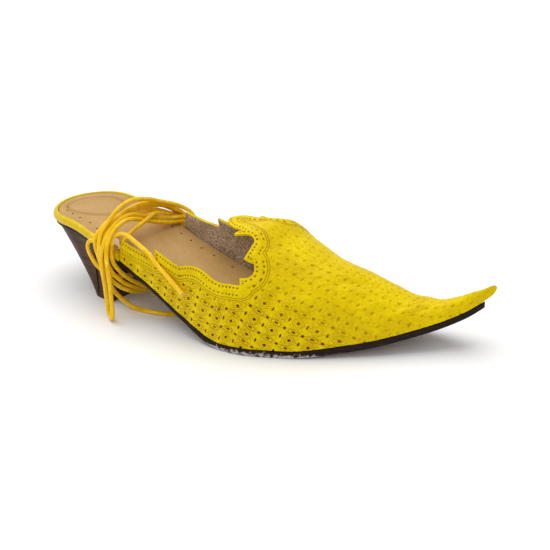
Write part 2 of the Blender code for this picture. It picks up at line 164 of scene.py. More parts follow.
def curve_through(rows, columns, name):
    """Smooth curve through one column of a table, as a function of an array of shares."""
    table = np.array(rows, float)
    at = table[:, 0]
    value = table[:, columns.index(name)]
    run = np.diff(at)
    slope = np.diff(value) / run
    tangent = np.zeros(len(at))
    tangent[0] = slope[0]
    tangent[-1] = slope[-1]
    for i in range(1, len(at) - 1):
        if slope[i - 1] * slope[i] > 0:
            before = 2 * run[i] + run[i - 1]
            after = run[i] + 2 * run[i - 1]
            tangent[i] = (before + after) / (before / slope[i - 1] + after / slope[i])

    def read(share):
        share = np.clip(share, at[0], at[-1])
        i = np.clip(np.searchsorted(at, share, side="right") - 1, 0, len(at) - 2)
        t = (share - at[i]) / run[i]
        start = (1 + 2 * t) * (1 - t) ** 2 * value[i] + t * (1 - t) ** 2 * run[i] * tangent[i]
        return start + t * t * (3 - 2 * t) * value[i + 1] + t * t * (t - 1) * run[i] * tangent[i + 1]

    return read


last = {name: curve_through(LAST, LAST_COLUMNS, name) for name in LAST_COLUMNS[1:]}
cone = {name: curve_through(CONE, CONE_COLUMNS, name) for name in CONE_COLUMNS[1:]}
sole_thickness = curve_through(SOLE_TABLE, SOLE_COLUMNS, "thickness")

# the solids stand with their origin under the middle of the shoe, the tables run from its heel
tip_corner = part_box("upper")[1]
HEEL_BACK = np.array((tip_corner[0] - LENGTH, tip_corner[1] - SWING, 0.0))
print("back of the heel seat at", np.round(HEEL_BACK / MM, 2), "mm")


# %% Surfaces of the last
def half_width(share):
    return BALL_WIDTH / 2 * last["width"](share)


def centre(share):
    return SWING * last["swing"](share) - BOW * last["bow"](share)


def sole_top(share):
    return SOLE + HEEL_LIFT * last["heel"](share) + TOE_LIFT * last["toe"](share)


def sole_bottom(share):
    return sole_top(share) - SOLE * sole_thickness(share)


def spline_at(a, b, c, d, t):
    """A place between b and c, a share t of the way, on a smooth curve through all four."""
    pull = (2 * a - 5 * b + 4 * c - d) * t * t + (3 * b - a - 3 * c + d) * t ** 3
    return (2 * b + (c - a) * t + pull) / 2


def smoothstep(start, end, value):
    t = np.clip((value - start) / (end - start), 0.0, 1.0)
    return t * t * (3 - 2 * t)


def last_point(share, up, side, wall=0.0):
    """Points on the last: up runs from the sole's edge (0) to the ridge (1), side is -1 or 1."""
    angle = up * math.pi / 2
    lean = cone["lean"](share) * half_width(share) * np.cos(angle) ** cone["power"](share)
    place = share - side * lean / LENGTH
    power = cone["power"](place)
    close = 1.0
    if wall:
        close = np.sqrt(np.maximum(0.0, 1 - smoothstep(CAVITY_CLOSES, 1.0, place) ** 2))
        place = place - (1 - CAVITY_END) * smoothstep(CAVITY_DRAWS_BACK, 1.0, place)
    half = np.maximum(half_width(place) - wall, 0.0) * close
    ridge = INSTEP * cone["ridge"](place) - wall
    out = side * half * (np.cos(angle) ** power + SIDE_BULGE * np.sin(2 * angle))
    rise = (ridge - SEAM) * np.sin(angle) ** power
    return np.stack([place * LENGTH, centre(place) + out, sole_top(place) + SEAM + rise], axis=-1)


def seat_walk(walk, end):
    """Shares along the outline from the back of the seat (walk 0) over its round (0.5) to end (1)."""
    in_round = SEAT_ROUND * (1 - np.cos(walk / 0.5 * math.pi / 2))
    return np.where(walk < 0.5, in_round, SEAT_ROUND + (end - SEAT_ROUND) * (walk - 0.5) / 0.5)


def outline_point(share, side, inset, end):
    """Points on the sole's outline, moved inward by inset; the outline ends in a round at end."""

    def on_edge(at):
        at = np.maximum(at, 0.0)
        rounding = np.clip((SEAT_ROUND - at) / SEAT_ROUND, 0.0, 1.0)
        half = half_width(at) * np.sqrt(1 - rounding ** 2)
        return np.stack([at * LENGTH, centre(at) + side * half], axis=-1)

    step = 1e-4
    along = on_edge(share + step) - on_edge(share - step)
    along /= np.linalg.norm(along, axis=-1, keepdims=True)
    inward = np.stack([side * along[..., 1], -side * along[..., 0]], axis=-1)
    point = on_edge(share) + np.asarray(inset)[..., None] * inward
    nose = end - NOSE_ROUND
    past = np.clip((share - nose) / NOSE_ROUND, 0.0, 1.0)[..., None]
    middle = np.stack([share * LENGTH, centre(share)], axis=-1)
    return np.where(past > 0, middle + (point - middle) * np.sqrt(1 - past ** 2), point)


print("half width at the ball", round(float(half_width(0.615)) / MM, 1), "mm")

# %% [markdown]
# The camera
#
# The camera stands where the photographer stood: three quarters from the front, a little above,
# with a long lens. Its place was worked out from the heel, the toe and the width of the sole. It
# turns only so far that the shoe sits in the middle of the picture.

# %% Camera
CAMERA_AZIMUTH = math.radians(37.555)
CAMERA_ELEVATION = math.radians(21.759)
CAMERA_ROLL = math.radians(-1.81)
CAMERA_PLACE = Vector((583.75, -515.66, 310.72)) * MM  # from the back of the heel seat
PICTURE = 550  # pixels
FOCAL_PIXELS = 1334.4
SHOE_MIDDLE_PIXEL = (236, 303)  # middle of the shoe in the photo


def camera_axes():
    """Right, up and back of the photographer's camera."""
    a, e, r = CAMERA_AZIMUTH, CAMERA_ELEVATION, CAMERA_ROLL
    back = Vector((math.sin(a) * math.cos(e), -math.cos(a) * math.cos(e), math.sin(e)))
    level = Vector((math.cos(a), math.sin(a), 0))
    rise = back.cross(level)
    return math.cos(r) * level + math.sin(r) * rise, math.cos(r) * rise - math.sin(r) * level, back


def add_camera():
    right, up, back = camera_axes()
    across = (SHOE_MIDDLE_PIXEL[0] - PICTURE / 2) / FOCAL_PIXELS
    down = (SHOE_MIDDLE_PIXEL[1] - PICTURE / 2) / FOCAL_PIXELS
    ahead = (-back + across * right - down * up).normalized()
    right = ahead.cross(up).normalized()
    up = right.cross(ahead)
    data = bpy.data.cameras.new("camera")
    data.sensor_width = 36
    data.lens = FOCAL_PIXELS / PICTURE * data.sensor_width
    data.clip_start = 0.05
    camera = bpy.data.objects.new("camera", data)
    bpy.context.scene.collection.objects.link(camera)
    place = CAMERA_PLACE + Vector(HEEL_BACK)
    for row in range(3):
        camera.matrix_world[row][0] = right[row]
        camera.matrix_world[row][1] = up[row]
        camera.matrix_world[row][2] = -ahead[row]
        camera.matrix_world[row][3] = place[row]
    bpy.context.scene.camera = camera
    return camera


camera = add_camera()
print("lens", round(camera.data.lens, 1), "mm")

# %% [markdown]
# Ways of shaping
#
# Most parts of a shoe are a sheet cut flat and then laid over the last. So most pieces here start
# as a flat bmesh, cut by planes into a grid fine enough to bend, and one function then moves every
# point to its place on the last. A rolled or turned part starts as a grid whose two edges meet.


# %% Piece helpers
def plane_cuts(bm, axis, places, geometry):
    """Cut the given geometry of a bmesh by planes at places along an axis, and return it all."""
    normal = Vector((0, 0, 0))
    normal[axis] = 1
    for place in places:
        cut = bmesh.ops.bisect_plane(bm, geom=geometry, dist=1e-7, plane_co=normal * place, plane_no=normal)
        geometry = cut["geom"]
    return geometry


def around_faces(faces):
    """The faces with all their edges and points."""
    edges = {edge for face in faces for edge in face.edges}
    verts = {vert for edge in edges for vert in edge.verts}
    return [*verts, *edges, *faces]


def to_piece(bm, name, smooth_angle=45):
    """A mesh object made of a bmesh, with smooth shading and its sharp edges kept."""
    mesh = bpy.data.meshes.new(name)
    bm.to_mesh(mesh)
    bm.free()
    mesh.shade_smooth()
    mesh.set_sharp_from_angle(angle=math.radians(smooth_angle))
    piece = bpy.data.objects.new(name, mesh)
    bpy.context.scene.collection.objects.link(piece)
    return piece


def points_of(mesh):
    flat = np.empty(len(mesh.vertices) * 3)
    mesh.vertices.foreach_get("co", flat)
    return flat.reshape(-1, 3)


def move_points(mesh, points):
    mesh.vertices.foreach_set("co", np.ascontiguousarray(points, float).ravel())
    mesh.update()


def formed_grid(name, along, around, form, smooth_angle=45):
    """A grid bent into a closed tube by form(u, v), its seam merged and its two ends filled."""
    bm = bmesh.new()
    bmesh.ops.create_grid(bm, x_segments=along, y_segments=around, size=0.5)
    flat = np.array([vert.co[:2] for vert in bm.verts]) + 0.5
    for vert, place in zip(bm.verts, form(flat[:, 0], flat[:, 1])):
        vert.co = place
    bmesh.ops.remove_doubles(bm, verts=bm.verts[:], dist=0.01 * MM)
    bmesh.ops.holes_fill(bm, edges=[edge for edge in bm.edges if edge.is_boundary])
    bmesh.ops.recalc_face_normals(bm, faces=bm.faces[:])
    return to_piece(bm, name, smooth_angle)


def carry(piece, node):
    """The piece rides on the shoe and stands for its solid, which is hidden."""
    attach(piece, "root")
    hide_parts(node)
    print(piece.name, len(piece.data.polygons), "faces")


# %% [markdown]
# The outsole
#
# The outsole is one layer of dark vegetable-tanned leather, cut to the outline of the last. Its
# edge is trimmed, sanded and waxed, so it is crisp with barely broken corners. It is made the same
# way: the flat outline, given its thickness, its corners bevelled, cut across and bent to the arch.

# %% Outline of a slab
OUTLINE_STEP = 1.6 * MM
BEND_STEP = 2.5 * MM


def slab_shares(end):
    """Shares along the outline, closer together in the round of the seat and at the tip."""
    back = SEAT_ROUND * (1 - np.cos(np.radians(np.arange(2, 90, 4))))
    run = (end - NOSE_ROUND - SEAT_ROUND) * LENGTH
    middle = np.linspace(SEAT_ROUND, end - NOSE_ROUND, round(run / OUTLINE_STEP / 2))
    front = end - NOSE_ROUND * (1 - np.sin(np.radians(np.arange(12, 90, 12))))
    return np.concatenate([back, middle, front])


def slab(name, end, inset, thickness, rounding):
    """A flat slab in the outline of the last, its rims rounded, cut across so that it can bend."""
    shares = slab_shares(end)
    near = outline_point(shares, -1, inset(shares), end)
    far = outline_point(shares, 1, inset(shares), end)
    bm = bmesh.new()
    rim = [bm.verts.new((x, y, thickness)) for x, y in np.concatenate([near, far[::-1]])]
    top = bm.faces.new(rim)
    made = bmesh.ops.extrude_face_region(bm, geom=[top], use_keep_orig=True)["geom"]
    lower = [item for item in made if isinstance(item, bmesh.types.BMVert)]
    bmesh.ops.translate(bm, verts=lower, vec=(0, 0, -thickness))
    bmesh.ops.recalc_face_normals(bm, faces=bm.faces[:])
    corners = [edge for edge in bm.edges if abs(edge.verts[0].co.z - edge.verts[1].co.z) < 1e-6]
    bmesh.ops.bevel(bm, geom=corners, offset=rounding, offset_type="OFFSET", segments=3, profile=0.5,
                    affect="EDGES", material=-1, clamp_overlap=True)
    plane_cuts(bm, 0, np.arange(BEND_STEP, end * LENGTH, BEND_STEP), around_faces(bm.faces[:]))
    return to_piece(bm, name)


def bend_slab(piece, thickness, bottom, top):
    """Lay a flat slab between two heights that follow the length of the last."""
    points = points_of(piece.data)
    share = np.clip(points[:, 0] / LENGTH, 0, 1)
    level = points[:, 2] / thickness
    points[:, 2] = bottom(share) + (top(share) - bottom(share)) * level
    move_points(piece.data, points + HEEL_BACK)


def no_inset(share):
    return np.zeros_like(share)


outsole = slab("outsole_leather", SOLE_END, no_inset, SOLE, SOLE_ROUND)
bend_slab(outsole, SOLE, sole_bottom, sole_top)
carry(outsole, "outsole")

# %% [markdown]
# The insole
#
# The insole is a thinner slab of natural tan leather that lies inside the upper. It is held at the
# seat by a row of small tacks, whose heads show as dark dots just inside its edge.


# %% Insole
def insole_inset(share):
    return LEATHER + SEAM + INSOLE_TOE_INSET * smoothstep(INSOLE_NARROWS, INSOLE_END, share)


def insole_top(share):
    return sole_top(share) + SEAM + INSOLE


insole = slab("insole_leather", INSOLE_END, insole_inset, INSOLE, 0.5 * MM)
bend_slab(insole, INSOLE, lambda share: sole_top(share) + SEAM, insole_top)
carry(insole, "insole")

# %% [markdown]
# The heel
#
# The heel is a stack of leather lifts, cut to the seat at the top and tapering in a hollow curve
# to a small base. The stack is sanded smooth after it is built, so the lifts show as fine lines.

# %% Heel
HEEL_LEVELS = 96
HEEL_ROUND = 120
LIFT = 4.6 * MM
LIFT_LINE = 0.12 * MM


def heel_form(u, v):
    """Place on the heel: u runs round its outline, v from its seat down to the floor."""
    breast_share = BREAST / LENGTH
    side = np.where(u < 0.5, -1, 1)
    along = seat_walk(1.0 - np.abs(2 * u - 1), breast_share)
    top = outline_point(along, side, np.full_like(along, HEEL_INSET), SOLE_END)
    x = np.minimum(top[:, 0], BREAST)
    widest = half_width(breast_share) - HEEL_INSET
    half = (top[:, 1] - centre(along)) * HEEL_BASE_WIDTH / 2 / widest
    base = np.stack([BREAST - HEEL_BASE_LENGTH * (1 - x / BREAST), centre(breast_share) + half], axis=-1)
    blend = (1 - (1 - v) ** HEEL_CURVE)[:, None]
    across = np.stack([x, top[:, 1]], axis=-1) * (1 - blend) + base * blend
    seat = sole_bottom(x / LENGTH) - SEAM
    return np.column_stack([across, seat * (1 - v)]) + HEEL_BACK


print("heel seat at", round(float(sole_bottom(0.1)) / MM, 1), "mm over the floor")


# %% Stacked heel
def lift_lines(v):
    """How deep the line between two lifts cuts in at each level of the heel."""
    height = float(sole_bottom(0.1)) * (1 - v)
    from_line = np.abs((height / LIFT + 0.5) % 1 - 0.5) * LIFT
    return LIFT_LINE * np.exp(-((from_line / (0.35 * MM)) ** 2))


heel = formed_grid("heel_stack", HEEL_ROUND, HEEL_LEVELS, heel_form, smooth_angle=40)
points = points_of(heel.data)
level = 1 - points[:, 2] / float(sole_bottom(0.1))
middle = np.array((BREAST * 0.62, float(centre(0.1)), 0)) + HEEL_BACK
outward = (points - middle) * (1, 1, 0)
outward /= np.linalg.norm(outward, axis=1, keepdims=True) + 1e-9
move_points(heel.data, points - outward * lift_lines(level)[:, None])
carry(heel, "heel")

# %% [markdown]
# The rand
#
# A rand is a strip of the upper's own leather, rolled round the edge of the insole from quarter to
# quarter, so the open back has a finished rim. It is a small closed section swept round the seat.

# %% Rand
RAND_SECTION = (
    # inward, outward, up
    (1.00, 0.00, 0.04),
    (0.10, 0.00, 0.04),
    (0.00, 0.25, -0.16),
    (0.00, 0.80, -0.12),
    (0.00, 1.10, 0.20),
    (0.00, 0.90, 0.58),
    (0.00, 0.35, 0.88),
    (0.35, 0.00, 1.04),
    (0.75, 0.00, 1.02),
    (1.00, 0.00, 0.80),
)


def section_curve(rows, count=40):
    """The corners of a closed section, rounded into an even smooth curve."""
    corners = np.array(rows + rows[:1], float)
    at = np.arange(len(corners), dtype=float)
    fine = np.linspace(0, len(rows), count + 1)
    i = np.clip(fine.astype(int), 0, len(rows) - 1)
    t = (fine - i)[:, None]
    ring = np.array(rows, float)
    four = (ring[(i + k) % len(rows)] for k in (-1, 0, 1, 2))
    return fine / at[-1], spline_at(*four, t)


def rand_form(u, v):
    """Place on the rand: u runs round the seat from the outer quarter to the inner, v round it."""
    end = QUARTER_BACK - RAND_GAP / LENGTH
    side = np.where(u < 0.5, -1, 1)
    along = seat_walk(np.abs(2 * u - 1), end)
    at, curve = section_curve(RAND_SECTION)
    inward, outward, up = (np.interp(v, at, curve[:, axis]) for axis in range(3))
    point = outline_point(along, side, LEATHER * inward - RAND_BULGE * outward, SOLE_END)
    level = sole_top(np.maximum(point[:, 0], 0) / LENGTH) + SEAM + (INSOLE + RAND_OVER_INSOLE) * up
    return np.column_stack([point, level]) + HEEL_BACK


rand = formed_grid("rand_leather", 180, 28, rand_form)
carry(rand, "heel_rand")

# %% [markdown]
# The upper
#
# The vamp and both quarters are one piece of thin goat leather. It is punched and embossed flat,
# cut with a leaf-shaped collar, lined, and pulled over the last. So half of the flat pattern is
# drawn with its collar, given a thickness, cut into a fine grid, mirrored, and laid on the last.
# The inside keeps a coarser grid, because only the outside carries the fine work.

# %% Flat pattern
EDGE_STEP = 0.7 * MM
FINE_STEP = 0.55 * MM
FINE_IN_COARSE = 8
ROWS_THIN_OUT = ((1.0, 4, 0), (0.88, 4, 2), (0.755, 2, 1))  # up to this share, every so many, from


def bowed_edge(start, end, bow, step):
    """Points along a bowed edge of the pattern, the first left out."""
    chord = end - start
    steps = max(2, round(chord.length / step))
    right = Vector((chord.y, -chord.x)) * bow
    return [start + chord * t + right * 4 * t * (1 - t) for t in (i / steps for i in range(1, steps + 1))]


def collar_line(step):
    """The collar on the flat pattern, from the back of the quarter to the tip of the main leaf."""
    corners = [Vector((along * LENGTH, (up - 1) * GIRTH)) for along, up, bow in COLLAR]
    line = [corners[0]]
    for i in range(1, len(corners)):
        line += bowed_edge(corners[i - 1], corners[i], COLLAR[i][2], step)
    return line


def lies_at(face, axis, place):
    return all(abs(vert.co[axis] - place) < 1e-7 for vert in face.verts)


def half_pattern():
    """Half of the flat pattern as a slab one unit thick: the outside cut fine, the inside coarse.

    The ridge of the shoe is the line y = 0, and the sole's edge lies at y = -GIRTH.
    """
    back = QUARTER_BACK * LENGTH
    outline = [Vector((back, -GIRTH))] + collar_line(EDGE_STEP)
    outline += [Vector((LENGTH, 0)), Vector((LENGTH, -GIRTH))]
    bm = bmesh.new()
    bm.faces.new([bm.verts.new((point.x, point.y, 0)) for point in outline])
    columns = np.arange(back + FINE_STEP, LENGTH - 1e-4, FINE_STEP)
    rows = np.arange(-GIRTH + FINE_STEP, -1e-4, FINE_STEP)
    coarse = slice(FINE_IN_COARSE - 1, None, FINE_IN_COARSE)
    plane_cuts(bm, 0, columns[coarse], around_faces(bm.faces[:]))
    plane_cuts(bm, 1, rows[coarse], around_faces(bm.faces[:]))
    made = bmesh.ops.extrude_face_region(bm, geom=bm.faces[:], use_keep_orig=True)["geom"]
    outside = [item for item in made if isinstance(item, bmesh.types.BMVert)]
    bmesh.ops.translate(bm, verts=outside, vec=(0, 0, 1))
    inner_walls = [face for face in bm.faces if lies_at(face, 1, 0) or lies_at(face, 0, LENGTH)]
    bmesh.ops.delete(bm, geom=inner_walls, context="FACES_ONLY")
    upper_faces = [face for face in bm.faces if face.calc_center_median().z > 0.1]
    plane_cuts(bm, 0, columns, around_faces(upper_faces))
    for share, every, first in ROWS_THIN_OUT:
        middles = [(face, face.calc_center_median()) for face in bm.faces]
        chosen = [face for face, at in middles if at.z > 0.1 and at.x < share * LENGTH]
        plane_cuts(bm, 1, rows[(first - 1) % every::every], around_faces(chosen))
    rim = [face for face in bm.faces if 0.1 < face.calc_center_median().z < 0.9]
    plane_cuts(bm, 2, (0.25, 0.5, 0.75), around_faces(rim))
    bmesh.ops.remove_doubles(bm, verts=bm.verts[:], dist=0.14 * MM)
    return bm


pattern = half_pattern()
bmesh.ops.mirror(pattern, geom=around_faces(pattern.faces[:]), axis="Y", merge_dist=0.01 * MM)
print("flat pattern:", len(pattern.faces), "faces")

# %% [markdown]
# Laying the pattern on the last
#
# Every point of the flat pattern keeps its share of the length and of the girth on the last. The
# punched pattern is laid out in true millimetres on the leather, so first the arc from the sole's
# edge to every place of the section is measured along the last.

# %% Measures on the last
RULER_ALONG = 420
RULER_UP = 240
NOSE = 3.4 * MM  # length of the round tip of the upper


def nose_round(points, share, level_low, level_high):
    """Round the very tip of the upper to a blunt point."""
    t = np.clip((share * LENGTH - (LENGTH - NOSE)) / NOSE, 0, 1)
    shrink = np.sqrt(np.maximum(0, 1 - t * t))
    middle = np.stack([share * LENGTH, centre(share), level_low + 0.45 * (level_high - level_low)], axis=-1)
    wide = 1 + 0.9 * t * (1 - t)
    return middle + (points - middle) * np.stack([np.ones_like(t), shrink * wide, shrink], axis=-1)


def on_last(share, up, side, wall=0.0):
    """The last's own surface with a rounded nose, from the back of the heel seat."""
    points = last_point(share, up, side, wall)
    low = sole_top(share) + SEAM
    return nose_round(points, share, low, low + INSTEP * cone["ridge"](share))


def ruler(side):
    """Arc from the sole's edge at even places of x and up, on one side of the last."""
    share = np.linspace(QUARTER_BACK - 0.03, 1.0, RULER_ALONG)
    up = np.linspace(0, 1, RULER_UP)
    grid = last_point(share[:, None] * np.ones(RULER_UP), up[None, :] * np.ones((RULER_ALONG, 1)), side)
    x_even = np.linspace(QUARTER_BACK * LENGTH, LENGTH, RULER_ALONG)
    section = np.empty((RULER_ALONG, RULER_UP, 3))
    for j in range(RULER_UP):
        for axis in range(3):
            section[:, j, axis] = np.interp(x_even, grid[:, j, 0], grid[:, j, axis])
    step = np.linalg.norm(np.diff(section, axis=1), axis=2)
    return x_even, up, np.concatenate([np.zeros((RULER_ALONG, 1)), np.cumsum(step, axis=1)], axis=1)


def read_ruler(table, x, up):
    """Arc at any x and up, between the ruler's places."""
    x_even, up_even, arc = table
    fx = np.clip((x - x_even[0]) / (x_even[1] - x_even[0]), 0, len(x_even) - 1.001)
    fu = np.clip(up * (len(up_even) - 1), 0, len(up_even) - 1.001)
    i, j = fx.astype(int), fu.astype(int)
    tx, tu = fx - i, fu - j
    low = arc[i, j] * (1 - tx) + arc[i + 1, j] * tx
    high = arc[i, j + 1] * (1 - tx) + arc[i + 1, j + 1] * tx
    return low * (1 - tu) + high * tu


RULERS = {side: ruler(side) for side in (-1, 1)}
half_girth = {side: RULERS[side][2][:, -1] for side in (-1, 1)}
print("half girth at the throat", round(float(half_girth[-1][90]) / MM, 1), "mm")

# %% [markdown]
# The punched pattern
#
# The leather is decorated with one small repeat: a four-cornered hole in two diamond frames, long
# slits between the holes, and small dots where four repeats meet, with fine waved lines along the
# slits. Rows run along the shoe and lean a little on the quarters. Each point of the leather gets
# its place in the repeat, counted in repeats, as a UV map. The holes are pressed into the mesh, and
# the material draws the finer tooling from the same map.

# %% Repeat of the punched pattern
REPEAT_ALONG = 10.4 * MM
REPEAT_ACROSS = 11.1 * MM
FIRST_ROW = 7.3 * MM  # from the ridge
ROW_LEAN = 0.33  # how far the rows of holes lean on the quarters
LEAN_ENDS = (205 * MM, 230 * MM)
LEAN_CENTRE = 30 * MM
WHOLE_HOLE_AT = 183.5 * MM
QUARTER_GIRTH = 77 * MM
GIRTH_FROM = 157 * MM
STRETCH_COLUMNS = ("along", "step")  # how much of x one repeat takes, in mm
STRETCH = (
    (70, 10.6),
    (135, 10.6),
    (155, 10.2),
    (170, 8.9),
    (190, 8.4),
    (210, 8.2),
    (240, 8.1),
    (260, 7.4),
    (273, 7.0),
)


def repeat_count():
    """Repeats along the shoe at even places of x, as a pair of arrays."""
    step = curve_through(STRETCH, STRETCH_COLUMNS, "step")
    x = np.linspace(60, 290, 1200)
    count = np.concatenate([[0], np.cumsum(np.diff(x) / step((x[1:] + x[:-1]) / 2))])
    return x * MM, count


def pattern_place(x, arc, side):
    """Place of each point of the leather in the repeat: along and across, in repeats."""
    girth = np.interp(x, RULERS[side][0], half_girth[side])
    girth = np.where(x < GIRTH_FROM, QUARTER_GIRTH, girth)
    from_ridge = girth - arc
    lean = ROW_LEAN * (1 - smoothstep(*LEAN_ENDS, x))
    at, count = repeat_count()
    along = np.interp(x + lean * (from_ridge - LEAN_CENTRE), at, count) - np.interp(WHOLE_HOLE_AT, at, count)
    return along, (from_ridge - FIRST_ROW) / REPEAT_ACROSS


print("one repeat is", round(REPEAT_ALONG / MM, 1), "by", round(REPEAT_ACROSS / MM, 1), "mm")

# %% Depth of the punches
HOLE_REACH = 1.15 * MM
HOLE_DEPTH = 1.0 * MM
SLIT_HALF = (1.15 * MM, 0.5 * MM)
SLIT_DEPTH = 0.7 * MM
DOT_REACH = 0.62 * MM
PILLOW = 0.16 * MM
BORDER = 8.8 * MM  # width of the plain border along the collar
BORDER_ROWS = (1.6 * MM, 5.2 * MM)
BORDER_DOT_STEP = 2.1 * MM
BORDER_LINES = (7.0 * MM, 8.2 * MM)


def dent(level, soft):
    """1 inside a shape and 0 outside, where level is 1 on its edge."""
    return 1 - smoothstep(1 - soft, 1 + soft, level)


def pressed(along, across):
    """How deep the punches press the leather, in metres."""
    p = (along - np.round(along)) * REPEAT_ALONG
    q = (across - np.round(across)) * REPEAT_ACROSS
    p_half = (along - np.floor(along) - 0.5) * REPEAT_ALONG
    q_half = (across - np.floor(across) - 0.5) * REPEAT_ACROSS
    hole = (np.abs(p) / HOLE_REACH) ** 0.8 + (np.abs(q) / HOLE_REACH) ** 0.8
    upright = np.hypot(p_half / SLIT_HALF[1], q / SLIT_HALF[0])
    lying = np.hypot(p / SLIT_HALF[0], q_half / SLIT_HALF[1])
    dot = np.hypot(p_half, q_half) / DOT_REACH
    depth = HOLE_DEPTH * dent(hole, 0.35)
    for level in (upright, lying, dot):
        depth = np.maximum(depth, SLIT_DEPTH * dent(level, 0.4))
    ring = np.hypot(p, q) / (3.1 * MM)
    return depth + PILLOW * np.exp(-(((ring - 1) * 2.2) ** 2))


print("holes are pressed", HOLE_DEPTH / MM, "mm deep")

# %% [markdown]
# Creases
#
# A shoe that has been worn keeps a few soft troughs where the foot bends, and the leather swells a
# little between them. Each crease is listed one by one: where it starts and ends on the last, how wide
# and how deep it is.

# %% Creases, listed one by one
CREASES = (
    # share and up of its start, share and up of its end, width and depth in mm
    (0.625, 0.30, 0.700, 0.62, 7.0, 0.7),
    (0.655, 0.16, 0.735, 0.44, 6.0, 0.6),
    (0.735, 0.70, 0.800, 0.93, 6.0, 0.5),
    (0.800, 0.30, 0.865, 0.75, 5.0, 0.5),
    (0.880, 0.45, 0.915, 0.95, 4.0, 0.45),
)


def crease_depth(share, up, side):
    """Depth of the creases of the outer side, in metres, with a soft swell on both sides."""
    total = np.zeros_like(share)
    for start, start_up, end, end_up, width, depth in CREASES:
        line = np.array((end - start, (end_up - start_up) * GIRTH / LENGTH))
        offset = np.stack([share - start, (up - start_up) * GIRTH / LENGTH], axis=-1)
        t = np.clip(offset @ line / (line @ line), 0, 1)
        away = np.linalg.norm(offset - t[:, None] * line, axis=1) * LENGTH / (width * MM)
        fade = np.sin(math.pi * np.clip(t, 0.02, 0.98)) ** 0.7
        trough = np.exp(-(away ** 2) * 2.2) - 0.45 * np.exp(-((away - 1.25) ** 2) * 3)
        total += depth * MM * fade * trough
    return np.where(side < 0, total, 0.6 * total)


print(len(CREASES), "creases")

# %% Lay the pattern on the last
SURFACE_STEP = 1e-4


def surface_normals(share, up, side):
    """Outward direction of the last at each place."""
    up = np.clip(up, 0.004, 0.996)
    share = np.clip(share, 0, 1 - 2 * SURFACE_STEP)
    ahead = on_last(share + SURFACE_STEP, up, side) - on_last(share - SURFACE_STEP, up, side)
    above = on_last(share, up + SURFACE_STEP, side) - on_last(share, up - SURFACE_STEP, side)
    normal = np.cross(ahead, above) * -side[:, None]
    return normal / (np.linalg.norm(normal, axis=1, keepdims=True) + 1e-12)


def collar_distance(points, side):
    """Distance of each point from the collar, and the place along the collar that is nearest."""
    line = np.array([tuple(point) for point in collar_line(0.35 * MM)])
    edge = on_last(line[:, 0] / LENGTH, 1 + line[:, 1] / GIRTH, np.full(len(line), side))
    run = np.concatenate([[0], np.cumsum(np.linalg.norm(np.diff(edge, axis=0), axis=1))])
    away = np.full(len(points), 1.0)
    along = np.zeros(len(points))
    for start in range(0, len(points), 2000):
        gap = np.linalg.norm(points[start:start + 2000, None, :] - edge[None, :, :], axis=2)
        nearest = gap.argmin(axis=1)
        away[start:start + 2000] = gap.min(axis=1)
        along[start:start + 2000] = run[nearest]
    return away, along


mesh = bpy.data.meshes.new("upper_leather")
pattern.to_mesh(mesh)
pattern.free()
flat = points_of(mesh)
share = np.clip(flat[:, 0] / LENGTH, 0, 1)
up = np.clip(1 - np.abs(flat[:, 1]) / GIRTH, 0, 1)
side = np.where(flat[:, 1] > 0, 1.0, -1.0)
outside = flat[:, 2]
outer = on_last(share, up, side)
normal = surface_normals(share, up, side)
along, across, from_collar, collar_run = (np.zeros(len(flat)) for _ in range(4))
for one in (-1, 1):
    chosen = side == one
    x = outer[chosen, 0]
    arc = read_ruler(RULERS[one], x, up[chosen])
    along[chosen], across[chosen] = pattern_place(x, arc, one)
    from_collar[chosen], collar_run[chosen] = collar_distance(outer[chosen], one)
print("laid", len(flat), "points on the last")

# %% Relief of the upper
BORDER_DEPTH = 0.35 * MM
BORDER_DOT = 0.6 * MM
LINE_DEPTH = 0.18 * MM
LINE_WIDTH = 0.35 * MM
BORDER_PILLOW = 0.4 * MM
FIELD_STARTS = 1.2 * MM
TIP_SMOOTH = (0.955, 0.985)  # shares between which the relief fades towards the tip
EDGE_ROUND = 1.1 * MM
EDGE_DROP = 0.4 * MM

in_field = smoothstep(BORDER, BORDER + FIELD_STARTS, from_collar)
depth = pressed(along, across) * in_field
dot_run = (collar_run / BORDER_DOT_STEP - np.round(collar_run / BORDER_DOT_STEP)) * BORDER_DOT_STEP
for row in BORDER_ROWS:
    depth += BORDER_DEPTH * dent(np.hypot(dot_run, from_collar - row) / BORDER_DOT, 0.4)
for line in BORDER_LINES:
    depth += LINE_DEPTH * np.exp(-(((from_collar - line) / LINE_WIDTH) ** 2))
between = (from_collar - sum(BORDER_ROWS) / 2) / (0.5 * (BORDER_ROWS[1] - BORDER_ROWS[0]))
depth -= BORDER_PILLOW * np.exp(-(between ** 4) * 1.5)
depth += crease_depth(share, up, side)
edge_fall = EDGE_DROP * (1 - np.clip(from_collar / EDGE_ROUND, 0, 1)) ** 2
off_tip = 1 - smoothstep(*TIP_SMOOTH, share)
outer = outer - normal * (depth * off_tip + edge_fall)[:, None]
inner = last_point(share, up, side, LEATHER) + normal * (0.6 * edge_fall)[:, None]
laid = inner + (outer - inner) * outside[:, None] + HEEL_BACK
move_points(mesh, laid)
bm = bmesh.new()
bm.from_mesh(mesh)
uv = bm.loops.layers.uv.new("repeat")
border = bm.loops.layers.uv.new("border")
outside_layer = bm.verts.layers.float.new("outside")
for vert, level in zip(bm.verts, outside):
    vert[outside_layer] = level
for face in bm.faces:
    for loop in face.loops:
        i = loop.vert.index
        loop[uv].uv = (along[i], across[i])
        loop[border].uv = (collar_run[i] / MM, from_collar[i] / MM)
bmesh.ops.remove_doubles(bm, verts=bm.verts[:], dist=0.002 * MM)
bmesh.ops.recalc_face_normals(bm, faces=bm.faces[:])
bmesh.ops.triangulate(bm, faces=[face for face in bm.faces if len(face.verts) > 4])
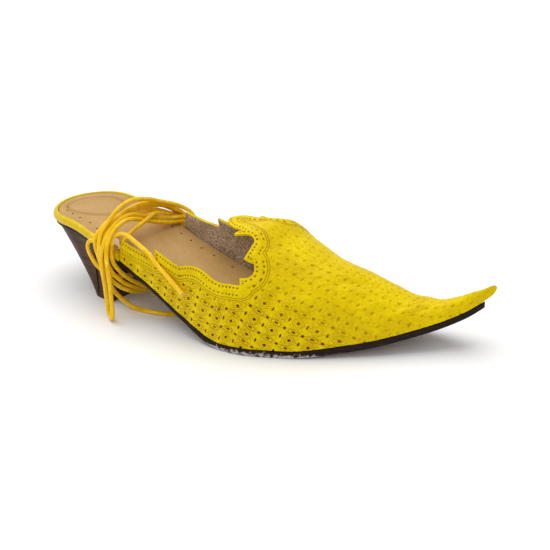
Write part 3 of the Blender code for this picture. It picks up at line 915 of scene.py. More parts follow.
open_edges = [edge for edge in bm.edges if not edge.is_manifold]
print("open edges:", len(open_edges))
upper = to_piece(bm, "upper_goat_leather", smooth_angle=70)
carry(upper, "upper")

# %% [markdown]
# The lace
#
# The slipper is tied with one long round leather lace. It leaves a slit in the corner of the outer
# quarter, and for the picture it has been wound loosely round the waist of the shoe. It is limp, so
# each turn hangs under the arch, two loops reach the floor, and the end lies over the quarter. The
# route is a list of points, given turn by turn, and one smooth curve runs through them.

# %% Route of the lace
LACE_ROUTE = (
    # out of the slit and low over the insole
    (79.5, -36.3, 38.6), (79.4, -34.9, 40.6), (78.8, -31.4, 43.2), (78.0, -26.0, 45.2), (77.3, -20.4, 46.4),
    (76.5, -13.5, 47.5), (75.6, -6.5, 48.8), (75.0, 0.2, 47.6), (75.0, 6.5, 45.0), (75.5, 13.0, 42.0),
    (76.5, 19.0, 39.0), (77.2, 21.6, 34.5), (77.6, 22.0, 29.0), (78.0, 18.5, 22.0), (77.8, 11.0, 14.5),
    (77.5, 2.0, 9.0), (77.3, -8.0, 6.6), (77.5, -19.0, 8.0), (77.5, -26.0, 11.5), (77.0, -32.0, 15.5),
    (76.0, -37.0, 20.5), (75.0, -41.0, 26.0), (73.4, -42.6, 32.5), (72.2, -42.2, 38.5), (70.6, -39.8, 44.5),
    # second turn
    (69.4, -35.0, 48.8), (69.9, -26.8, 53.1), (70.7, -20.8, 55.0), (71.4, -15.0, 55.8), (72.4, -7.6, 55.5),
    (73.3, -0.4, 53.8), (73.9, 4.7, 51.9), (74.8, 10.5, 48.8), (75.8, 16.5, 44.0), (76.8, 21.4, 38.8),
    (77.2, 24.3, 33.0), (76.8, 23.6, 27.0), (76.4, 18.8, 19.5), (76.0, 11.0, 12.0), (75.5, 2.0, 7.0),
    (75.0, -7.0, 4.6), (75.2, -16.0, 5.2), (76.5, -24.0, 8.0), (76.8, -31.0, 11.5), (75.2, -36.5, 15.5),
    (74.0, -40.8, 20.5), (72.4, -43.2, 26.0), (70.2, -43.4, 31.5), (68.0, -43.0, 36.5), (66.2, -42.4, 41.0),
    # third turn, then down to the floor under the arch
    (66.0, -41.0, 44.4), (66.5, -38.1, 47.3), (66.9, -34.7, 49.6), (67.4, -30.8, 51.6), (68.0, -26.5, 52.4),
    (68.9, -19.3, 52.6), (70.0, -11.0, 52.8), (71.3, -0.2, 51.8), (72.2, 6.5, 50.2), (73.2, 12.5, 46.8),
    (74.0, 18.0, 42.0), (74.4, 22.6, 37.0), (75.0, 25.6, 31.0), (76.0, 25.6, 24.0), (78.5, 20.0, 15.5),
    (84.0, 11.0, 8.0), (93.0, 1.0, 3.0), (101.5, -8.0, 1.5), (107.0, -16.5, 1.4), (106.5, -24.0, 1.4),
    (100.5, -27.8, 1.4), (93.0, -29.8, 1.4), (86.0, -30.8, 1.4), (79.5, -31.2, 1.9), (74.8, -32.8, 5.0),
    (73.0, -36.5, 10.5), (74.2, -40.8, 16.5), (75.0, -43.6, 23.0), (73.8, -44.8, 30.0), (71.6, -44.2, 36.5),
    (69.6, -42.0, 42.5), (68.9, -38.4, 47.8),
    # fourth turn, the highest
    (70.0, -33.6, 52.6), (71.1, -29.0, 57.1), (72.0, -23.2, 59.9), (73.1, -16.1, 60.7), (74.4, -7.8, 58.7),
    (75.5, -0.9, 56.0), (76.4, 4.4, 53.4), (77.2, 9.7, 51.2), (78.3, 16.8, 47.2), (79.1, 21.8, 43.2),
    (79.6, 25.4, 38.0), (79.4, 26.8, 32.0), (78.4, 25.0, 25.5), (76.5, 18.0, 20.0), (74.0, 7.0, 16.5),
    (72.0, -5.0, 14.8), (70.6, -17.0, 15.0), (70.2, -28.0, 17.5), (70.0, -35.5, 20.5), (67.6, -39.4, 23.8),
    # round the heel and back over the top
    (63.0, -39.8, 26.4), (58.6, -38.9, 29.8), (55.4, -38.3, 34.0), (55.2, -38.1, 37.8), (58.0, -38.3, 40.2),
    (62.0, -39.8, 41.4), (65.6, -39.6, 43.8), (67.6, -35.6, 47.0), (68.8, -29.0, 49.0), (69.6, -22.0, 49.6),
    (70.2, -15.1, 49.8), (70.5, -10.4, 50.3), (70.8, -6.5, 50.5), (71.3, -0.4, 49.6), (71.7, 5.0, 47.6),
    (72.0, 10.8, 44.4), (72.2, 17.0, 40.6), (71.8, 22.0, 36.5), (71.4, 24.8, 30.5), (71.8, 25.0, 23.5),
    # a slack bend behind the inner side, up again and over to the outer side
    (72.6, 25.8, 17.5), (74.4, 27.4, 13.2), (78.2, 29.4, 11.8), (81.8, 30.6, 14.6), (82.6, 30.4, 20.0),
    (81.8, 29.0, 26.0),
    (80.2, 27.0, 32.0), (78.8, 24.2, 36.0), (77.4, 20.6, 38.8), (76.4, 13.9, 41.2), (75.6, 6.2, 43.4),
    (74.9, -1.3, 45.8), (74.2, -8.7, 48.5), (73.3, -17.3, 52.2), (72.8, -23.2, 53.2), (72.2, -29.3, 51.8),
    (71.8, -33.9, 49.6), (71.5, -37.6, 46.6), (71.5, -41.2, 42.4), (72.4, -44.4, 37.4), (73.6, -45.8, 31.0),
    # the doubled loop that hangs to the floor
    (75.0, -46.4, 24.0), (75.4, -46.4, 16.0), (75.3, -46.3, 10.0), (75.5, -46.3, 6.2), (76.9, -47.1, 2.9),
    (79.9, -48.8, 1.35), (82.9, -50.4, 2.9), (84.3, -51.2, 6.2), (84.2, -51.1, 10.4), (83.5, -50.5, 16.0),
    (82.0, -49.1, 22.0),
    (79.9, -47.4, 27.6), (77.9, -46.0, 32.6), (76.4, -44.4, 37.6), (75.2, -41.9, 42.4), (75.1, -38.2, 47.0),
    (75.3, -32.5, 50.5), (75.5, -26.0, 51.9), (75.7, -18.4, 50.3), (76.0, -10.7, 47.1), (76.2, -2.9, 44.1),
    (76.5, 5.1, 41.4), (76.8, 13.3, 39.2), (77.6, 20.0, 36.6), (79.2, 23.4, 32.0), (80.0, 23.4, 26.0),
    (80.2, 18.0, 18.5), (80.2, 9.0, 12.0), (80.2, 0.0, 8.8), (79.8, -9.0, 8.2), (79.5, -17.5, 9.4),
    (79.0, -22.5, 12.4), (78.2, -27.5, 16.0), (77.6, -32.5, 20.5), (77.4, -36.6, 25.5), (77.0, -40.0, 30.5),
    # the free end, over the rim and down the outer quarter
    (76.6, -41.0, 36.0), (76.2, -39.8, 40.8), (76.8, -38.0, 44.4), (78.6, -36.6, 47.0), (81.6, -36.2, 48.4),
    (85.4, -36.6, 48.5), (89.4, -37.4, 47.9), (93.6, -38.4, 46.9), (97.8, -39.5, 45.9), (102.1, -40.5, 44.6),
    (106.6, -41.1, 41.8), (111.0, -41.7, 39.1), (115.9, -42.5, 36.7), (120.6, -43.4, 34.6),
    (125.0, -44.0, 32.1), (129.4, -44.7, 29.6), (133.3, -45.4, 27.6),
)
LACE_STEP = 1.0 * MM
SPLINE_PARTS = 16  # between two points of the route


def smooth_line(points, step):
    """Points spaced evenly along a smooth curve through the route's own points."""
    route = np.array(points, float) * MM
    count = len(route)
    dense = []
    for i in range(count - 1):
        four = [route[min(max(i + k, 0), count - 1)] for k in (-1, 0, 1, 2)]
        dense += [spline_at(*four, j / SPLINE_PARTS) for j in range(SPLINE_PARTS)]
    dense.append(route[-1])
    dense = np.array(dense)
    run = np.concatenate([[0], np.cumsum(np.linalg.norm(np.diff(dense, axis=0), axis=1))])
    marks = np.linspace(0, run[-1], max(2, round(run[-1] / step)) + 1)
    return np.column_stack([np.interp(marks, run, dense[:, axis]) for axis in range(3)]), run[-1]


hand_laid, hand_length = smooth_line(LACE_ROUTE, LACE_STEP)
print("laid by hand:", round(hand_length, 3), "m of lace")

# %% [markdown]
# Settling the lace
#
# The listed points leave some strands inside each other. A real lace slides until its strands
# only touch, and its own stiffness spreads each push along it. So pairs of points that are too close
# push each other apart, points that are inside the shoe are lifted off it, and the moves are
# smoothed along the lace. A cloth solver would need thousands of points for the same rest.

# %% Let the lace settle
TOUCH = LACE * 1.02  # from the middle of one strand to the middle of the next
CLEAR = LACE / 2 + 0.15 * MM
OWN_STRETCH = 8  # neighbours along the lace that may be closer
SETTLE_ROUNDS = 90
LIFT_EVERY = 5  # rounds between two lifts off the shoe
FAIR_EVERY = 15  # rounds between two smoothings of the lace itself
LAST_ROUNDS = 6  # in which the pushes are no longer spread
LARGEST_PUSH = 0.6 * MM


def shoe_trees():
    """Search trees of the shoe's solids, in the lace's own frame."""
    trees = []
    for name in ("outsole", "heel", "insole", "heel_rand", "upper"):
        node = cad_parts[name].data
        verts = [vert.co - Vector(HEEL_BACK) for vert in node.vertices]
        trees.append(BVHTree.FromPolygons(verts, [tuple(face.vertices) for face in node.polygons]))
    return trees


def close_pairs(line, reach):
    """Pairs of points that lie closer than reach and not along the same stretch."""
    pairs = []
    for i in range(len(line) - OWN_STRETCH):
        away = np.abs(line[i + OWN_STRETCH:] - line[i])
        near = np.nonzero((away < reach).all(axis=1))[0]
        pairs += [(i, i + OWN_STRETCH + j) for j in near]
    return np.array(pairs)


def push_apart(line, pairs):
    """Move the two points of each pair apart until the strands only touch."""
    gap = line[pairs[:, 0]] - line[pairs[:, 1]]
    away = np.linalg.norm(gap, axis=1)
    short = np.clip(TOUCH - away, 0, None)
    push = gap / (away[:, None] + 1e-9) * (0.5 * short)[:, None]
    moved = np.zeros_like(line)
    np.add.at(moved, pairs[:, 0], push)
    np.add.at(moved, pairs[:, 1], -push)
    largest = np.linalg.norm(moved, axis=1, keepdims=True)
    return line + moved * np.minimum(1, LARGEST_PUSH / (largest + 1e-12))


def push_out(line, trees):
    """Lift each point off the shoe's solids and the floor."""
    for tree in trees:
        for i, point in enumerate(line):
            place, normal, face, away = tree.find_nearest(Vector(point), 2.5 * CLEAR)
            if place is None:
                continue
            height = (Vector(point) - place).dot(normal)
            if height < CLEAR and (height > -0.9 * LEATHER or away < LEATHER):
                line[i] = point + np.array(normal) * (CLEAR - height)
    line[:, 2] = np.maximum(line[:, 2], LACE / 2)
    return line


def settle(line):
    """Strands slide off each other and off the shoe, and each push spreads along the lace."""
    trees = shoe_trees()
    start = line.copy()
    for turn in range(SETTLE_ROUNDS):
        if turn % LIFT_EVERY == 0:
            pairs = close_pairs(line, 1.6 * TOUCH)
        line = push_apart(line, pairs)
        if turn % LIFT_EVERY == LIFT_EVERY - 1:
            line = push_out(line, trees)
        moved = line - start
        smooth = moved.copy()
        smooth[1:-1] = (moved[:-2] + 2 * moved[1:-1] + moved[2:]) / 4
        line = start + (smooth if turn < SETTLE_ROUNDS - LAST_ROUNDS else moved)
        if turn % FAIR_EVERY == 0:
            faired = line.copy()
            faired[1:-1] = line[1:-1] + 0.3 * (line[:-2] + line[2:] - 2 * line[1:-1])
            start = start + faired - line
            line = faired
    return line


lace_line = settle(hand_laid)

# %% [markdown]
# The lace's skin
#
# The lace is a strip of goat leather, rolled round and polished. A bevelled curve would give the same
# tube, but a mesh can keep two measures at every point, the run along the lace and the turn round
# it, and the streaks of the rolled leather, partly painted highlights, follow those. Each cut end is one flat
# face.

# %% Lace as a tube
LACE_CORNERS = 10


def tube_frames(line):
    """Two directions across the line at every point, turned as little as possible along it."""
    ahead = np.gradient(line, axis=0)
    ahead /= np.linalg.norm(ahead, axis=1, keepdims=True)
    across = np.empty_like(line)
    first = np.cross(ahead[0], (0.0, 0.0, 1.0))
    across[0] = first / np.linalg.norm(first)
    for i in range(1, len(line)):
        kept = across[i - 1] - ahead[i] * (across[i - 1] @ ahead[i])
        across[i] = kept / np.linalg.norm(kept)
    return across, np.cross(ahead, across)


def lace_tube(line):
    """A round tube along the line: a grid rolled up, its seam merged and its ends closed."""
    across, above = tube_frames(line)
    bm = bmesh.new()
    bmesh.ops.create_grid(bm, x_segments=len(line) - 1, y_segments=LACE_CORNERS, size=0.5)
    run_layer = bm.verts.layers.float.new("run")
    turn_layer = bm.verts.layers.float.new("turn")
    for vert in bm.verts:
        i = round((vert.co.x + 0.5) * (len(line) - 1))
        turn = (vert.co.y + 0.5) * 2 * math.pi
        vert[run_layer] = i * LACE_STEP / MM
        vert[turn_layer] = math.cos(turn)
        vert.co = line[i] + LACE / 2 * (math.cos(turn) * across[i] + math.sin(turn) * above[i])
    bmesh.ops.remove_doubles(bm, verts=bm.verts[:], dist=0.01 * MM)
    bmesh.ops.holes_fill(bm, edges=[edge for edge in bm.edges if edge.is_boundary])
    bmesh.ops.recalc_face_normals(bm, faces=bm.faces[:])
    return to_piece(bm, "lace", smooth_angle=50)


lace_path = lace_line + HEEL_BACK
lace = lace_tube(lace_path)
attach(lace, "root")
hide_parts("lace_coil", "lace_end", "lace_hanging_loop", "lace_low_loop", "lace_heel_loop")
print("the lace has", len(lace.data.polygons), "faces")

# %% [markdown]
# The torn slit
#
# Where the lace leaves the outer quarter, the slit has torn. A small flap of the leather has turned
# over there and shows its raw, tan side. It is a small bent sheet with a thickness.

# %% Torn flap
FLAP = ((76.0, -38.9, 43.9), (83.4, -40.1, 42.0), (82.8, -39.7, 46.1), (79.4, -38.9, 46.4))
FLAP_STEPS = 6
FLAP_THICK = 0.6 * MM
FLAP_CURL = 0.5 * MM
FLAP_WAVE = 0.25 * MM
corners = [Vector(point) * MM + Vector(HEEL_BACK) for point in FLAP]
bm = bmesh.new()
bmesh.ops.create_grid(bm, x_segments=FLAP_STEPS, y_segments=FLAP_STEPS, size=0.5)
for vert in bm.verts:
    u, v = vert.co.x + 0.5, vert.co.y + 0.5
    low, high = corners[0].lerp(corners[1], u), corners[3].lerp(corners[2], u)
    curl = FLAP_CURL * math.sin(math.pi * v) * (1 - u) + FLAP_WAVE * math.sin(7 * u + 2 * v)
    vert.co = low.lerp(high, v) + Vector((0, -curl, 0))
bmesh.ops.solidify(bm, geom=bm.faces[:], thickness=FLAP_THICK)
bmesh.ops.recalc_face_normals(bm, faces=bm.faces[:])
torn_flap = to_piece(bm, "torn_flap", smooth_angle=50)
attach(torn_flap, "root")
print("the flap has", len(torn_flap.data.polygons), "faces")

# %% [markdown]
# Tacks of the insole
#
# Small iron tacks hold the insole. They were set by hand, so they don't stand quite evenly. Each is
# a low dome of a few dozen faces, pressed a little into the leather.

# %% Tacks
TACK = 1.3 * MM
TACK_HEIGHT = 0.45  # of its half width
TACK_INSET = {-1: 5.2 * MM, 1: 6.4 * MM}  # from the upper, on the outer and on the inner side
TACKS_START = {-1: 0.0, 1: 0.25}  # on the inner side of the seat none are seen
TACKS = (  # share of the length, and how far off the row in half millimetres
    (0.03, 0.4), (0.055, -0.9), (0.088, 0.6), (0.125, -0.3), (0.157, 0.9), (0.187, -0.6), (0.215, 0.2),
    (0.25, 0.7), (0.281, -0.5), (0.308, 0.3), (0.333, -0.2), (0.36, 0.6), (0.388, -0.4), (0.43, 0.1),
)

bm = bmesh.new()
for side_of_tack in (-1, 1):
    for share_of_tack, shift in TACKS:
        if share_of_tack < TACKS_START[side_of_tack]:
            continue
        inset = LEATHER + SEAM + TACK_INSET[side_of_tack] + shift * MM / 2
        x, y = outline_point(np.array(share_of_tack), side_of_tack, np.array(inset), INSOLE_END)
        dome = bmesh.ops.create_uvsphere(bm, u_segments=10, v_segments=6, radius=TACK / 2)["verts"]
        bmesh.ops.scale(bm, vec=(1, 1, TACK_HEIGHT), verts=dome)
        level = float(insole_top(x / LENGTH))
        bmesh.ops.translate(bm, vec=Vector((x, y, level)) + Vector(HEEL_BACK), verts=dome)
tacks = to_piece(bm, "insole_tacks")
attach(tacks, "root")
print("tacks have", len(tacks.data.polygons), "faces")

# %% [markdown]
# Materials
#
# Each finish starts from what the real surface is. One helper adds a node with its settings and
# links, and every material is built from that helper alone.


# %% Material helpers
def linear(code):
    """An sRGB hex colour as linear light, with alpha."""
    channels = [int(code[i:i + 2], 16) / 255 for i in (1, 3, 5)]
    return (*[((c + 0.055) / 1.055) ** 2.4 if c > 0.04045 else c / 12.92 for c in channels], 1.0)


def add_node(tree, kind, settings=None, **inputs):
    """One node of a kind, with its settings, its input values and its links."""
    made = tree.nodes.new(kind)
    for name, value in (settings or {}).items():
        setattr(made, name, value)
    for name, value in inputs.items():
        key = int(name[1:]) if name[0] == "_" else name.replace("_", " ")
        if isinstance(value, bpy.types.NodeSocket):
            tree.links.new(value, made.inputs[key])
        else:
            made.inputs[key].default_value = value
    return made


def set_stops(ramp, *stops):
    """Give a colour ramp its stops, as pairs of a position and an sRGB hex colour."""
    elements = ramp.color_ramp.elements
    while len(elements) > 1:
        elements.remove(elements[-1])
    elements[0].position, elements[0].color = stops[0][0], linear(stops[0][1])
    for position, code in stops[1:]:
        elements.new(position).color = linear(code)
    return ramp.outputs["Color"]


def new_material(name, **finish):
    """A material whose shader has its plain numbers set on its own sockets."""
    material = bpy.data.materials.new(name)
    material.use_nodes = True
    shader = material.node_tree.nodes["Principled BSDF"]
    for socket, value in finish.items():
        shader.inputs[socket.replace("_", " ")].default_value = value
    return material, material.node_tree, shader


def wear(piece, *materials):
    piece.data.materials.clear()
    for material in materials:
        piece.data.materials.append(material)


print("a middle yellow is", [round(c, 3) for c in linear("#e8cc00")[:3]], "in linear light")

# %% [markdown]
# Punched goat leather
#
# The upper is vegetable-tanned goat, dyed lemon yellow and lightly glazed. Before it was cut, it was
# punched and embossed with a heated plate, which leaves brown holes and fine olive lines. The holes
# are in the mesh already. Here the UV map of the repeat is folded into one cell in millimetres,
# and the distance from each motif picks a colour from a ramp: brown in the hole, olive in a line,
# white where the yellow stays as it is. The ramps are multiplied, and their product also drives the
# bump, so colour and relief of the tooling can never part.

# %% One cell of the repeat
DARK, OLIVE, LINE, PLAIN = "#5e3a08", "#b89a40", "#d0bd78", "#ffffff"
goat_leather, tree, shader = new_material("punched_goat_leather", Specular_IOR_Level=0.07)
cell_size = (REPEAT_ALONG / MM, REPEAT_ACROSS / MM, 0)
repeat_map = add_node(tree, "ShaderNodeUVMap", {"uv_map": "repeat"}).outputs["UV"]
half_on = add_node(tree, "ShaderNodeVectorMath", {"operation": "ADD"}, _0=repeat_map, _1=(0.5, 0.5, 0))
cells = []
for counted in (half_on.outputs[0], repeat_map):
    inside = add_node(tree, "ShaderNodeVectorMath", {"operation": "FRACTION"}, _0=counted)
    centred = add_node(tree, "ShaderNodeVectorMath", {"operation": "SUBTRACT"}, _0=inside.outputs[0],
                       _1=(0.5, 0.5, 0))
    cells.append(add_node(tree, "ShaderNodeVectorMath", {"operation": "MULTIPLY"}, _0=centred.outputs[0],
                          _1=cell_size).outputs[0])
from_hole, from_dot = cells
hole_parts = add_node(tree, "ShaderNodeSeparateXYZ", Vector=from_hole)
dot_parts = add_node(tree, "ShaderNodeSeparateXYZ", Vector=from_dot)
folded = add_node(tree, "ShaderNodeVectorMath", {"operation": "ABSOLUTE"}, _0=from_hole).outputs[0]
print("a cell measures", cell_size[:2], "mm")

# %% Distances from the motifs
RAMP_REACH = 6.0  # mm that a ramp covers
upright = add_node(tree, "ShaderNodeCombineXYZ", X=dot_parts.outputs["X"], Y=hole_parts.outputs["Y"])
lying = add_node(tree, "ShaderNodeCombineXYZ", X=hole_parts.outputs["X"], Y=dot_parts.outputs["Y"])
slit_long, slit_wide = (1 / (size / MM) for size in SLIT_HALF)
diamond = add_node(tree, "ShaderNodeVectorMath", {"operation": "DOT_PRODUCT"}, _0=folded, _1=(1, 1, 0))
ringed = add_node(tree, "ShaderNodeVectorMath", {"operation": "SUBTRACT"}, _0=folded, _1=(2.6, 2.8, 0))
upright = add_node(tree, "ShaderNodeVectorMath", {"operation": "MULTIPLY"}, _0=upright.outputs[0],
                   _1=(slit_wide, slit_long, 0))
lying = add_node(tree, "ShaderNodeVectorMath", {"operation": "MULTIPLY"}, _0=lying.outputs[0],
                 _1=(slit_long, slit_wide, 0))
turn = add_node(tree, "ShaderNodeMath", {"operation": "MULTIPLY"}, _0=hole_parts.outputs["X"],
                _1=2 * math.pi / cell_size[0])
swing = add_node(tree, "ShaderNodeMath", {"operation": "COSINE"}, _0=turn.outputs[0])
row_middle = add_node(tree, "ShaderNodeMath", {"operation": "ABSOLUTE"}, _0=dot_parts.outputs["Y"])
wave = add_node(tree, "ShaderNodeMath", {"operation": "MULTIPLY_ADD"}, _0=swing.outputs[0], _1=-0.6,
                _2=row_middle.outputs[0])
distances = [diamond.outputs["Value"], wave.outputs[0]]
for vector in (upright.outputs[0], lying.outputs[0], ringed.outputs[0], from_dot):
    distance = add_node(tree, "ShaderNodeVectorMath", {"operation": "LENGTH"}, _0=vector)
    distances.append(distance.outputs["Value"])
print(len(distances), "distances")

# %% Colours of the motifs
MOTIF_STOPS = (
    # four-cornered hole with two frames
    ((0, DARK), (0.09, DARK), (0.17, OLIVE), (0.25, PLAIN), (0.37, PLAIN), (0.41, LINE), (0.45, LINE),
     (0.49, PLAIN), (0.59, PLAIN), (0.63, LINE), (0.66, LINE), (0.70, PLAIN)),
    # pair of waved lines between the rows
    ((0, PLAIN), (0.13, PLAIN), (0.17, LINE), (0.20, LINE), (0.24, PLAIN)),
    # upright slit
    ((0, DARK), (0.10, DARK), (0.16, OLIVE), (0.22, PLAIN)),
    # lying slit in a lens
    ((0, DARK), (0.10, DARK), (0.16, OLIVE), (0.22, PLAIN), (0.35, PLAIN), (0.39, LINE), (0.43, LINE),
     (0.47, PLAIN)),
    # small ring
    ((0, PLAIN), (0.12, PLAIN), (0.17, "#e4d6a0"), (0.22, PLAIN)),
    # dot where four repeats meet
    ((0, DARK), (0.05, DARK), (0.11, OLIVE), (0.16, PLAIN)),
)
tooling = None
for distance, stops in zip(distances, MOTIF_STOPS):
    share_of_reach = add_node(tree, "ShaderNodeMath", {"operation": "DIVIDE"}, _0=distance, _1=RAMP_REACH)
    ramp = add_node(tree, "ShaderNodeValToRGB", Fac=share_of_reach.outputs[0])
    colour = set_stops(ramp, *stops)
    if tooling is None:
        tooling = colour
    else:
        tooling = add_node(tree, "ShaderNodeMix", {"data_type": "RGBA", "blend_type": "MULTIPLY"}, _0=1.0,
                           _6=tooling, _7=colour).outputs[2]
print(len(MOTIF_STOPS), "motifs in the repeat")

# %% Border along the collar
border_map = add_node(tree, "ShaderNodeUVMap", {"uv_map": "border"}).outputs["UV"]
border_parts = add_node(tree, "ShaderNodeSeparateXYZ", Vector=border_map)
from_pairs = []
for pair in (BORDER_ROWS, BORDER_LINES):
    middle, apart = sum(pair) / 2 / MM, (pair[1] - pair[0]) / 2 / MM
    away = border_parts.outputs["Y"]
    for operation, value in (("SUBTRACT", middle), ("ABSOLUTE", 0), ("SUBTRACT", apart), ("ABSOLUTE", 0)):
        away = add_node(tree, "ShaderNodeMath", {"operation": operation}, _0=away, _1=value).outputs[0]
    from_pairs.append(away)
off_rows, off_lines = from_pairs
dots_run = add_node(tree, "ShaderNodeMath", {"operation": "PINGPONG"}, _0=border_parts.outputs["X"],
                    _1=BORDER_DOT_STEP / MM / 2)
dots = add_node(tree, "ShaderNodeCombineXYZ", X=dots_run.outputs[0], Y=off_rows)
dots = add_node(tree, "ShaderNodeVectorMath", {"operation": "LENGTH"}, _0=dots.outputs[0])
dot_ramp = add_node(tree, "ShaderNodeValToRGB", Fac=dots.outputs["Value"])
line_ramp = add_node(tree, "ShaderNodeValToRGB", Fac=off_lines)
dot_colour = set_stops(dot_ramp, (0, DARK), (0.16, "#7a5a18"), (0.42, "#d0bc78"), (0.62, PLAIN))
line_colour = set_stops(line_ramp, (0, "#d2c088"), (0.15, LINE), (0.38, PLAIN))
border = add_node(tree, "ShaderNodeMix", {"data_type": "RGBA", "blend_type": "MULTIPLY"}, _0=1.0,
                  _6=dot_colour, _7=line_colour).outputs[2]
in_field = add_node(tree, "ShaderNodeMapRange", Value=border_parts.outputs["Y"], From_Min=BORDER / MM - 0.3,
                    From_Max=BORDER / MM + 0.7)
print("border rows", BORDER_ROWS, "m from the collar")

# %% Colour and relief of the goat leather
# over the ridge of the vamp the tooling fades, paler and weaker towards the top
repeat_parts = add_node(tree, "ShaderNodeSeparateXYZ", Vector=repeat_map)
strength = add_node(tree, "ShaderNodeMapRange", Value=repeat_parts.outputs["Y"], From_Min=1.5, From_Max=3.5,
                    To_Min=0.1, To_Max=1.0)
faded = add_node(tree, "ShaderNodeMix", {"data_type": "RGBA"}, _0=strength.outputs[0],
                 _6=(1, 1, 1, 1), _7=tooling).outputs[2]
figure = add_node(tree, "ShaderNodeMix", {"data_type": "RGBA"}, _0=in_field.outputs[0], _6=border,
                  _7=faded).outputs[2]
object_place = add_node(tree, "ShaderNodeTexCoord").outputs["Object"]
# a noise's or cell's Scale is 1000 over its size in mm: dye clouds 18 mm, pores 0.9 mm, speckle 1.4 mm
cloudy = add_node(tree, "ShaderNodeTexNoise", Vector=object_place, Scale=55, Detail=5, Roughness=0.6)
pores = add_node(tree, "ShaderNodeTexVoronoi", Vector=object_place, Scale=1100)
speckle = add_node(tree, "ShaderNodeTexNoise", Vector=object_place, Scale=700, Detail=3, Roughness=0.7)
cloud_ramp = add_node(tree, "ShaderNodeValToRGB", Fac=cloudy.outputs["Fac"])
dyed = set_stops(cloud_ramp, (0.3, "#dabc00"), (0.5, "#e8cc00"), (0.7, "#f0d800"))
speckle_ramp = add_node(tree, "ShaderNodeValToRGB", Fac=speckle.outputs["Fac"])
speckled = set_stops(speckle_ramp, (0.3, "#e4d49c"), (0.46, "#f8f2dc"), (0.6, PLAIN))
dyed = add_node(tree, "ShaderNodeMix", {"data_type": "RGBA", "blend_type": "MULTIPLY"}, _0=0.9, _6=dyed,
                _7=speckled).outputs[2]
tooled = add_node(tree, "ShaderNodeMix", {"data_type": "RGBA", "blend_type": "MULTIPLY"}, _0=1.0, _6=dyed,
                  _7=figure).outputs[2]
tree.links.new(tooled, shader.inputs["Base Color"])
sunk = add_node(tree, "ShaderNodeBump", Strength=0.7, Distance=0.35 * MM, Height=figure)
grain = add_node(tree, "ShaderNodeBump", Strength=0.35, Distance=0.08 * MM, Height=pores.outputs["Distance"],
                 Normal=sunk.outputs["Normal"])
soft = add_node(tree, "ShaderNodeBump", Strength=0.3, Distance=0.9 * MM, Height=cloudy.outputs["Fac"],
                Normal=grain.outputs["Normal"])
tree.links.new(soft.outputs["Normal"], shader.inputs["Normal"])
gloss = add_node(tree, "ShaderNodeMapRange", Value=speckle.outputs["Fac"], To_Min=0.34, To_Max=0.5)
tree.links.new(gloss.outputs[0], shader.inputs["Roughness"])
print("goat leather has", len(tree.nodes), "nodes")

# %% [markdown]
# Suede lining
#
# The inside is lined with undyed sheep suede, grey-brown and napped. A nap scatters light, so it is
# very rough with a little sheen, and its colour changes in small patches where the nap lies over.

# %% Sheep suede
# tufts of nap 1 mm across, coarser than the real ones so that they show, and patches of 11 mm
suede, tree, shader = new_material("sheep_suede_lining", Roughness=0.95, Sheen_Weight=0.25,
                                   Specular_IOR_Level=0.2)
object_place = add_node(tree, "ShaderNodeTexCoord").outputs["Object"]
nap = add_node(tree, "ShaderNodeTexNoise", Vector=object_place, Scale=950, Detail=4, Roughness=0.75)
patches = add_node(tree, "ShaderNodeTexNoise", Vector=object_place, Scale=90, Detail=2)
nap_ramp = add_node(tree, "ShaderNodeValToRGB", Fac=nap.outputs["Fac"])
nap_colour = set_stops(nap_ramp, (0.34, "#7c6854"), (0.5, "#b8a28a"), (0.66, "#e8dac8"))
patch_ramp = add_node(tree, "ShaderNodeValToRGB", Fac=patches.outputs["Fac"])
patch_colour = set_stops(patch_ramp, (0.35, "#d8cfc4"), (0.65, PLAIN))
lined = add_node(tree, "ShaderNodeMix", {"data_type": "RGBA", "blend_type": "MULTIPLY"}, _0=1.0,
                 _6=nap_colour, _7=patch_colour).outputs[2]
tree.links.new(lined, shader.inputs["Base Color"])
nap_bump = add_node(tree, "ShaderNodeBump", Strength=0.6, Distance=0.3 * MM, Height=nap.outputs["Fac"])
tree.links.new(nap_bump.outputs["Normal"], shader.inputs["Normal"])

wear(upper, goat_leather, suede)
levels = np.empty(len(upper.data.vertices), np.float32)
upper.data.attributes["outside"].data.foreach_get("value", levels)
inner_faces = 0
for face in upper.data.polygons:
    if all(levels[i] < 0.1 for i in face.vertices):
        face.material_index = 1
        inner_faces += 1
print(inner_faces, "faces are lining")

# %% [markdown]
# Rand, lace and tacks
#
# Rand and lace are the same goat leather without tooling. The rand was burnished after it was sewn,
# and the lace was rolled and polished by hand, so they carry a thin clear coat over a tight, shallow
# grain. Where the leather is cut or torn, it is pale and matt. The tacks are iron that has rusted.

# %% Glazed goat leather of the rand
# burnished: a soft gloss on the roll; clouds of dye 7 mm across, pores 0.8 mm
rand_leather, tree, shader = new_material("glazed_goat_leather", Roughness=0.5, Specular_IOR_Level=0.15,
                                          Coat_Weight=0.18, Coat_Roughness=0.14)
object_place = add_node(tree, "ShaderNodeTexCoord").outputs["Object"]
cloudy = add_node(tree, "ShaderNodeTexNoise", Vector=object_place, Scale=140, Detail=5, Roughness=0.65)
cloud_ramp = add_node(tree, "ShaderNodeValToRGB", Fac=cloudy.outputs["Fac"])
tree.links.new(set_stops(cloud_ramp, (0.3, "#ceaa00"), (0.52, "#dcbc00"), (0.72, "#e8ce10")),
               shader.inputs["Base Color"])
pores = add_node(tree, "ShaderNodeTexVoronoi", Vector=object_place, Scale=1200)
grain = add_node(tree, "ShaderNodeBump", Strength=0.3, Distance=0.06 * MM, Height=pores.outputs["Distance"])
pulled = add_node(tree, "ShaderNodeBump", Strength=0.4, Distance=0.8 * MM, Height=cloudy.outputs["Fac"],
                  Normal=grain.outputs["Normal"])
tree.links.new(pulled.outputs["Normal"], shader.inputs["Normal"])
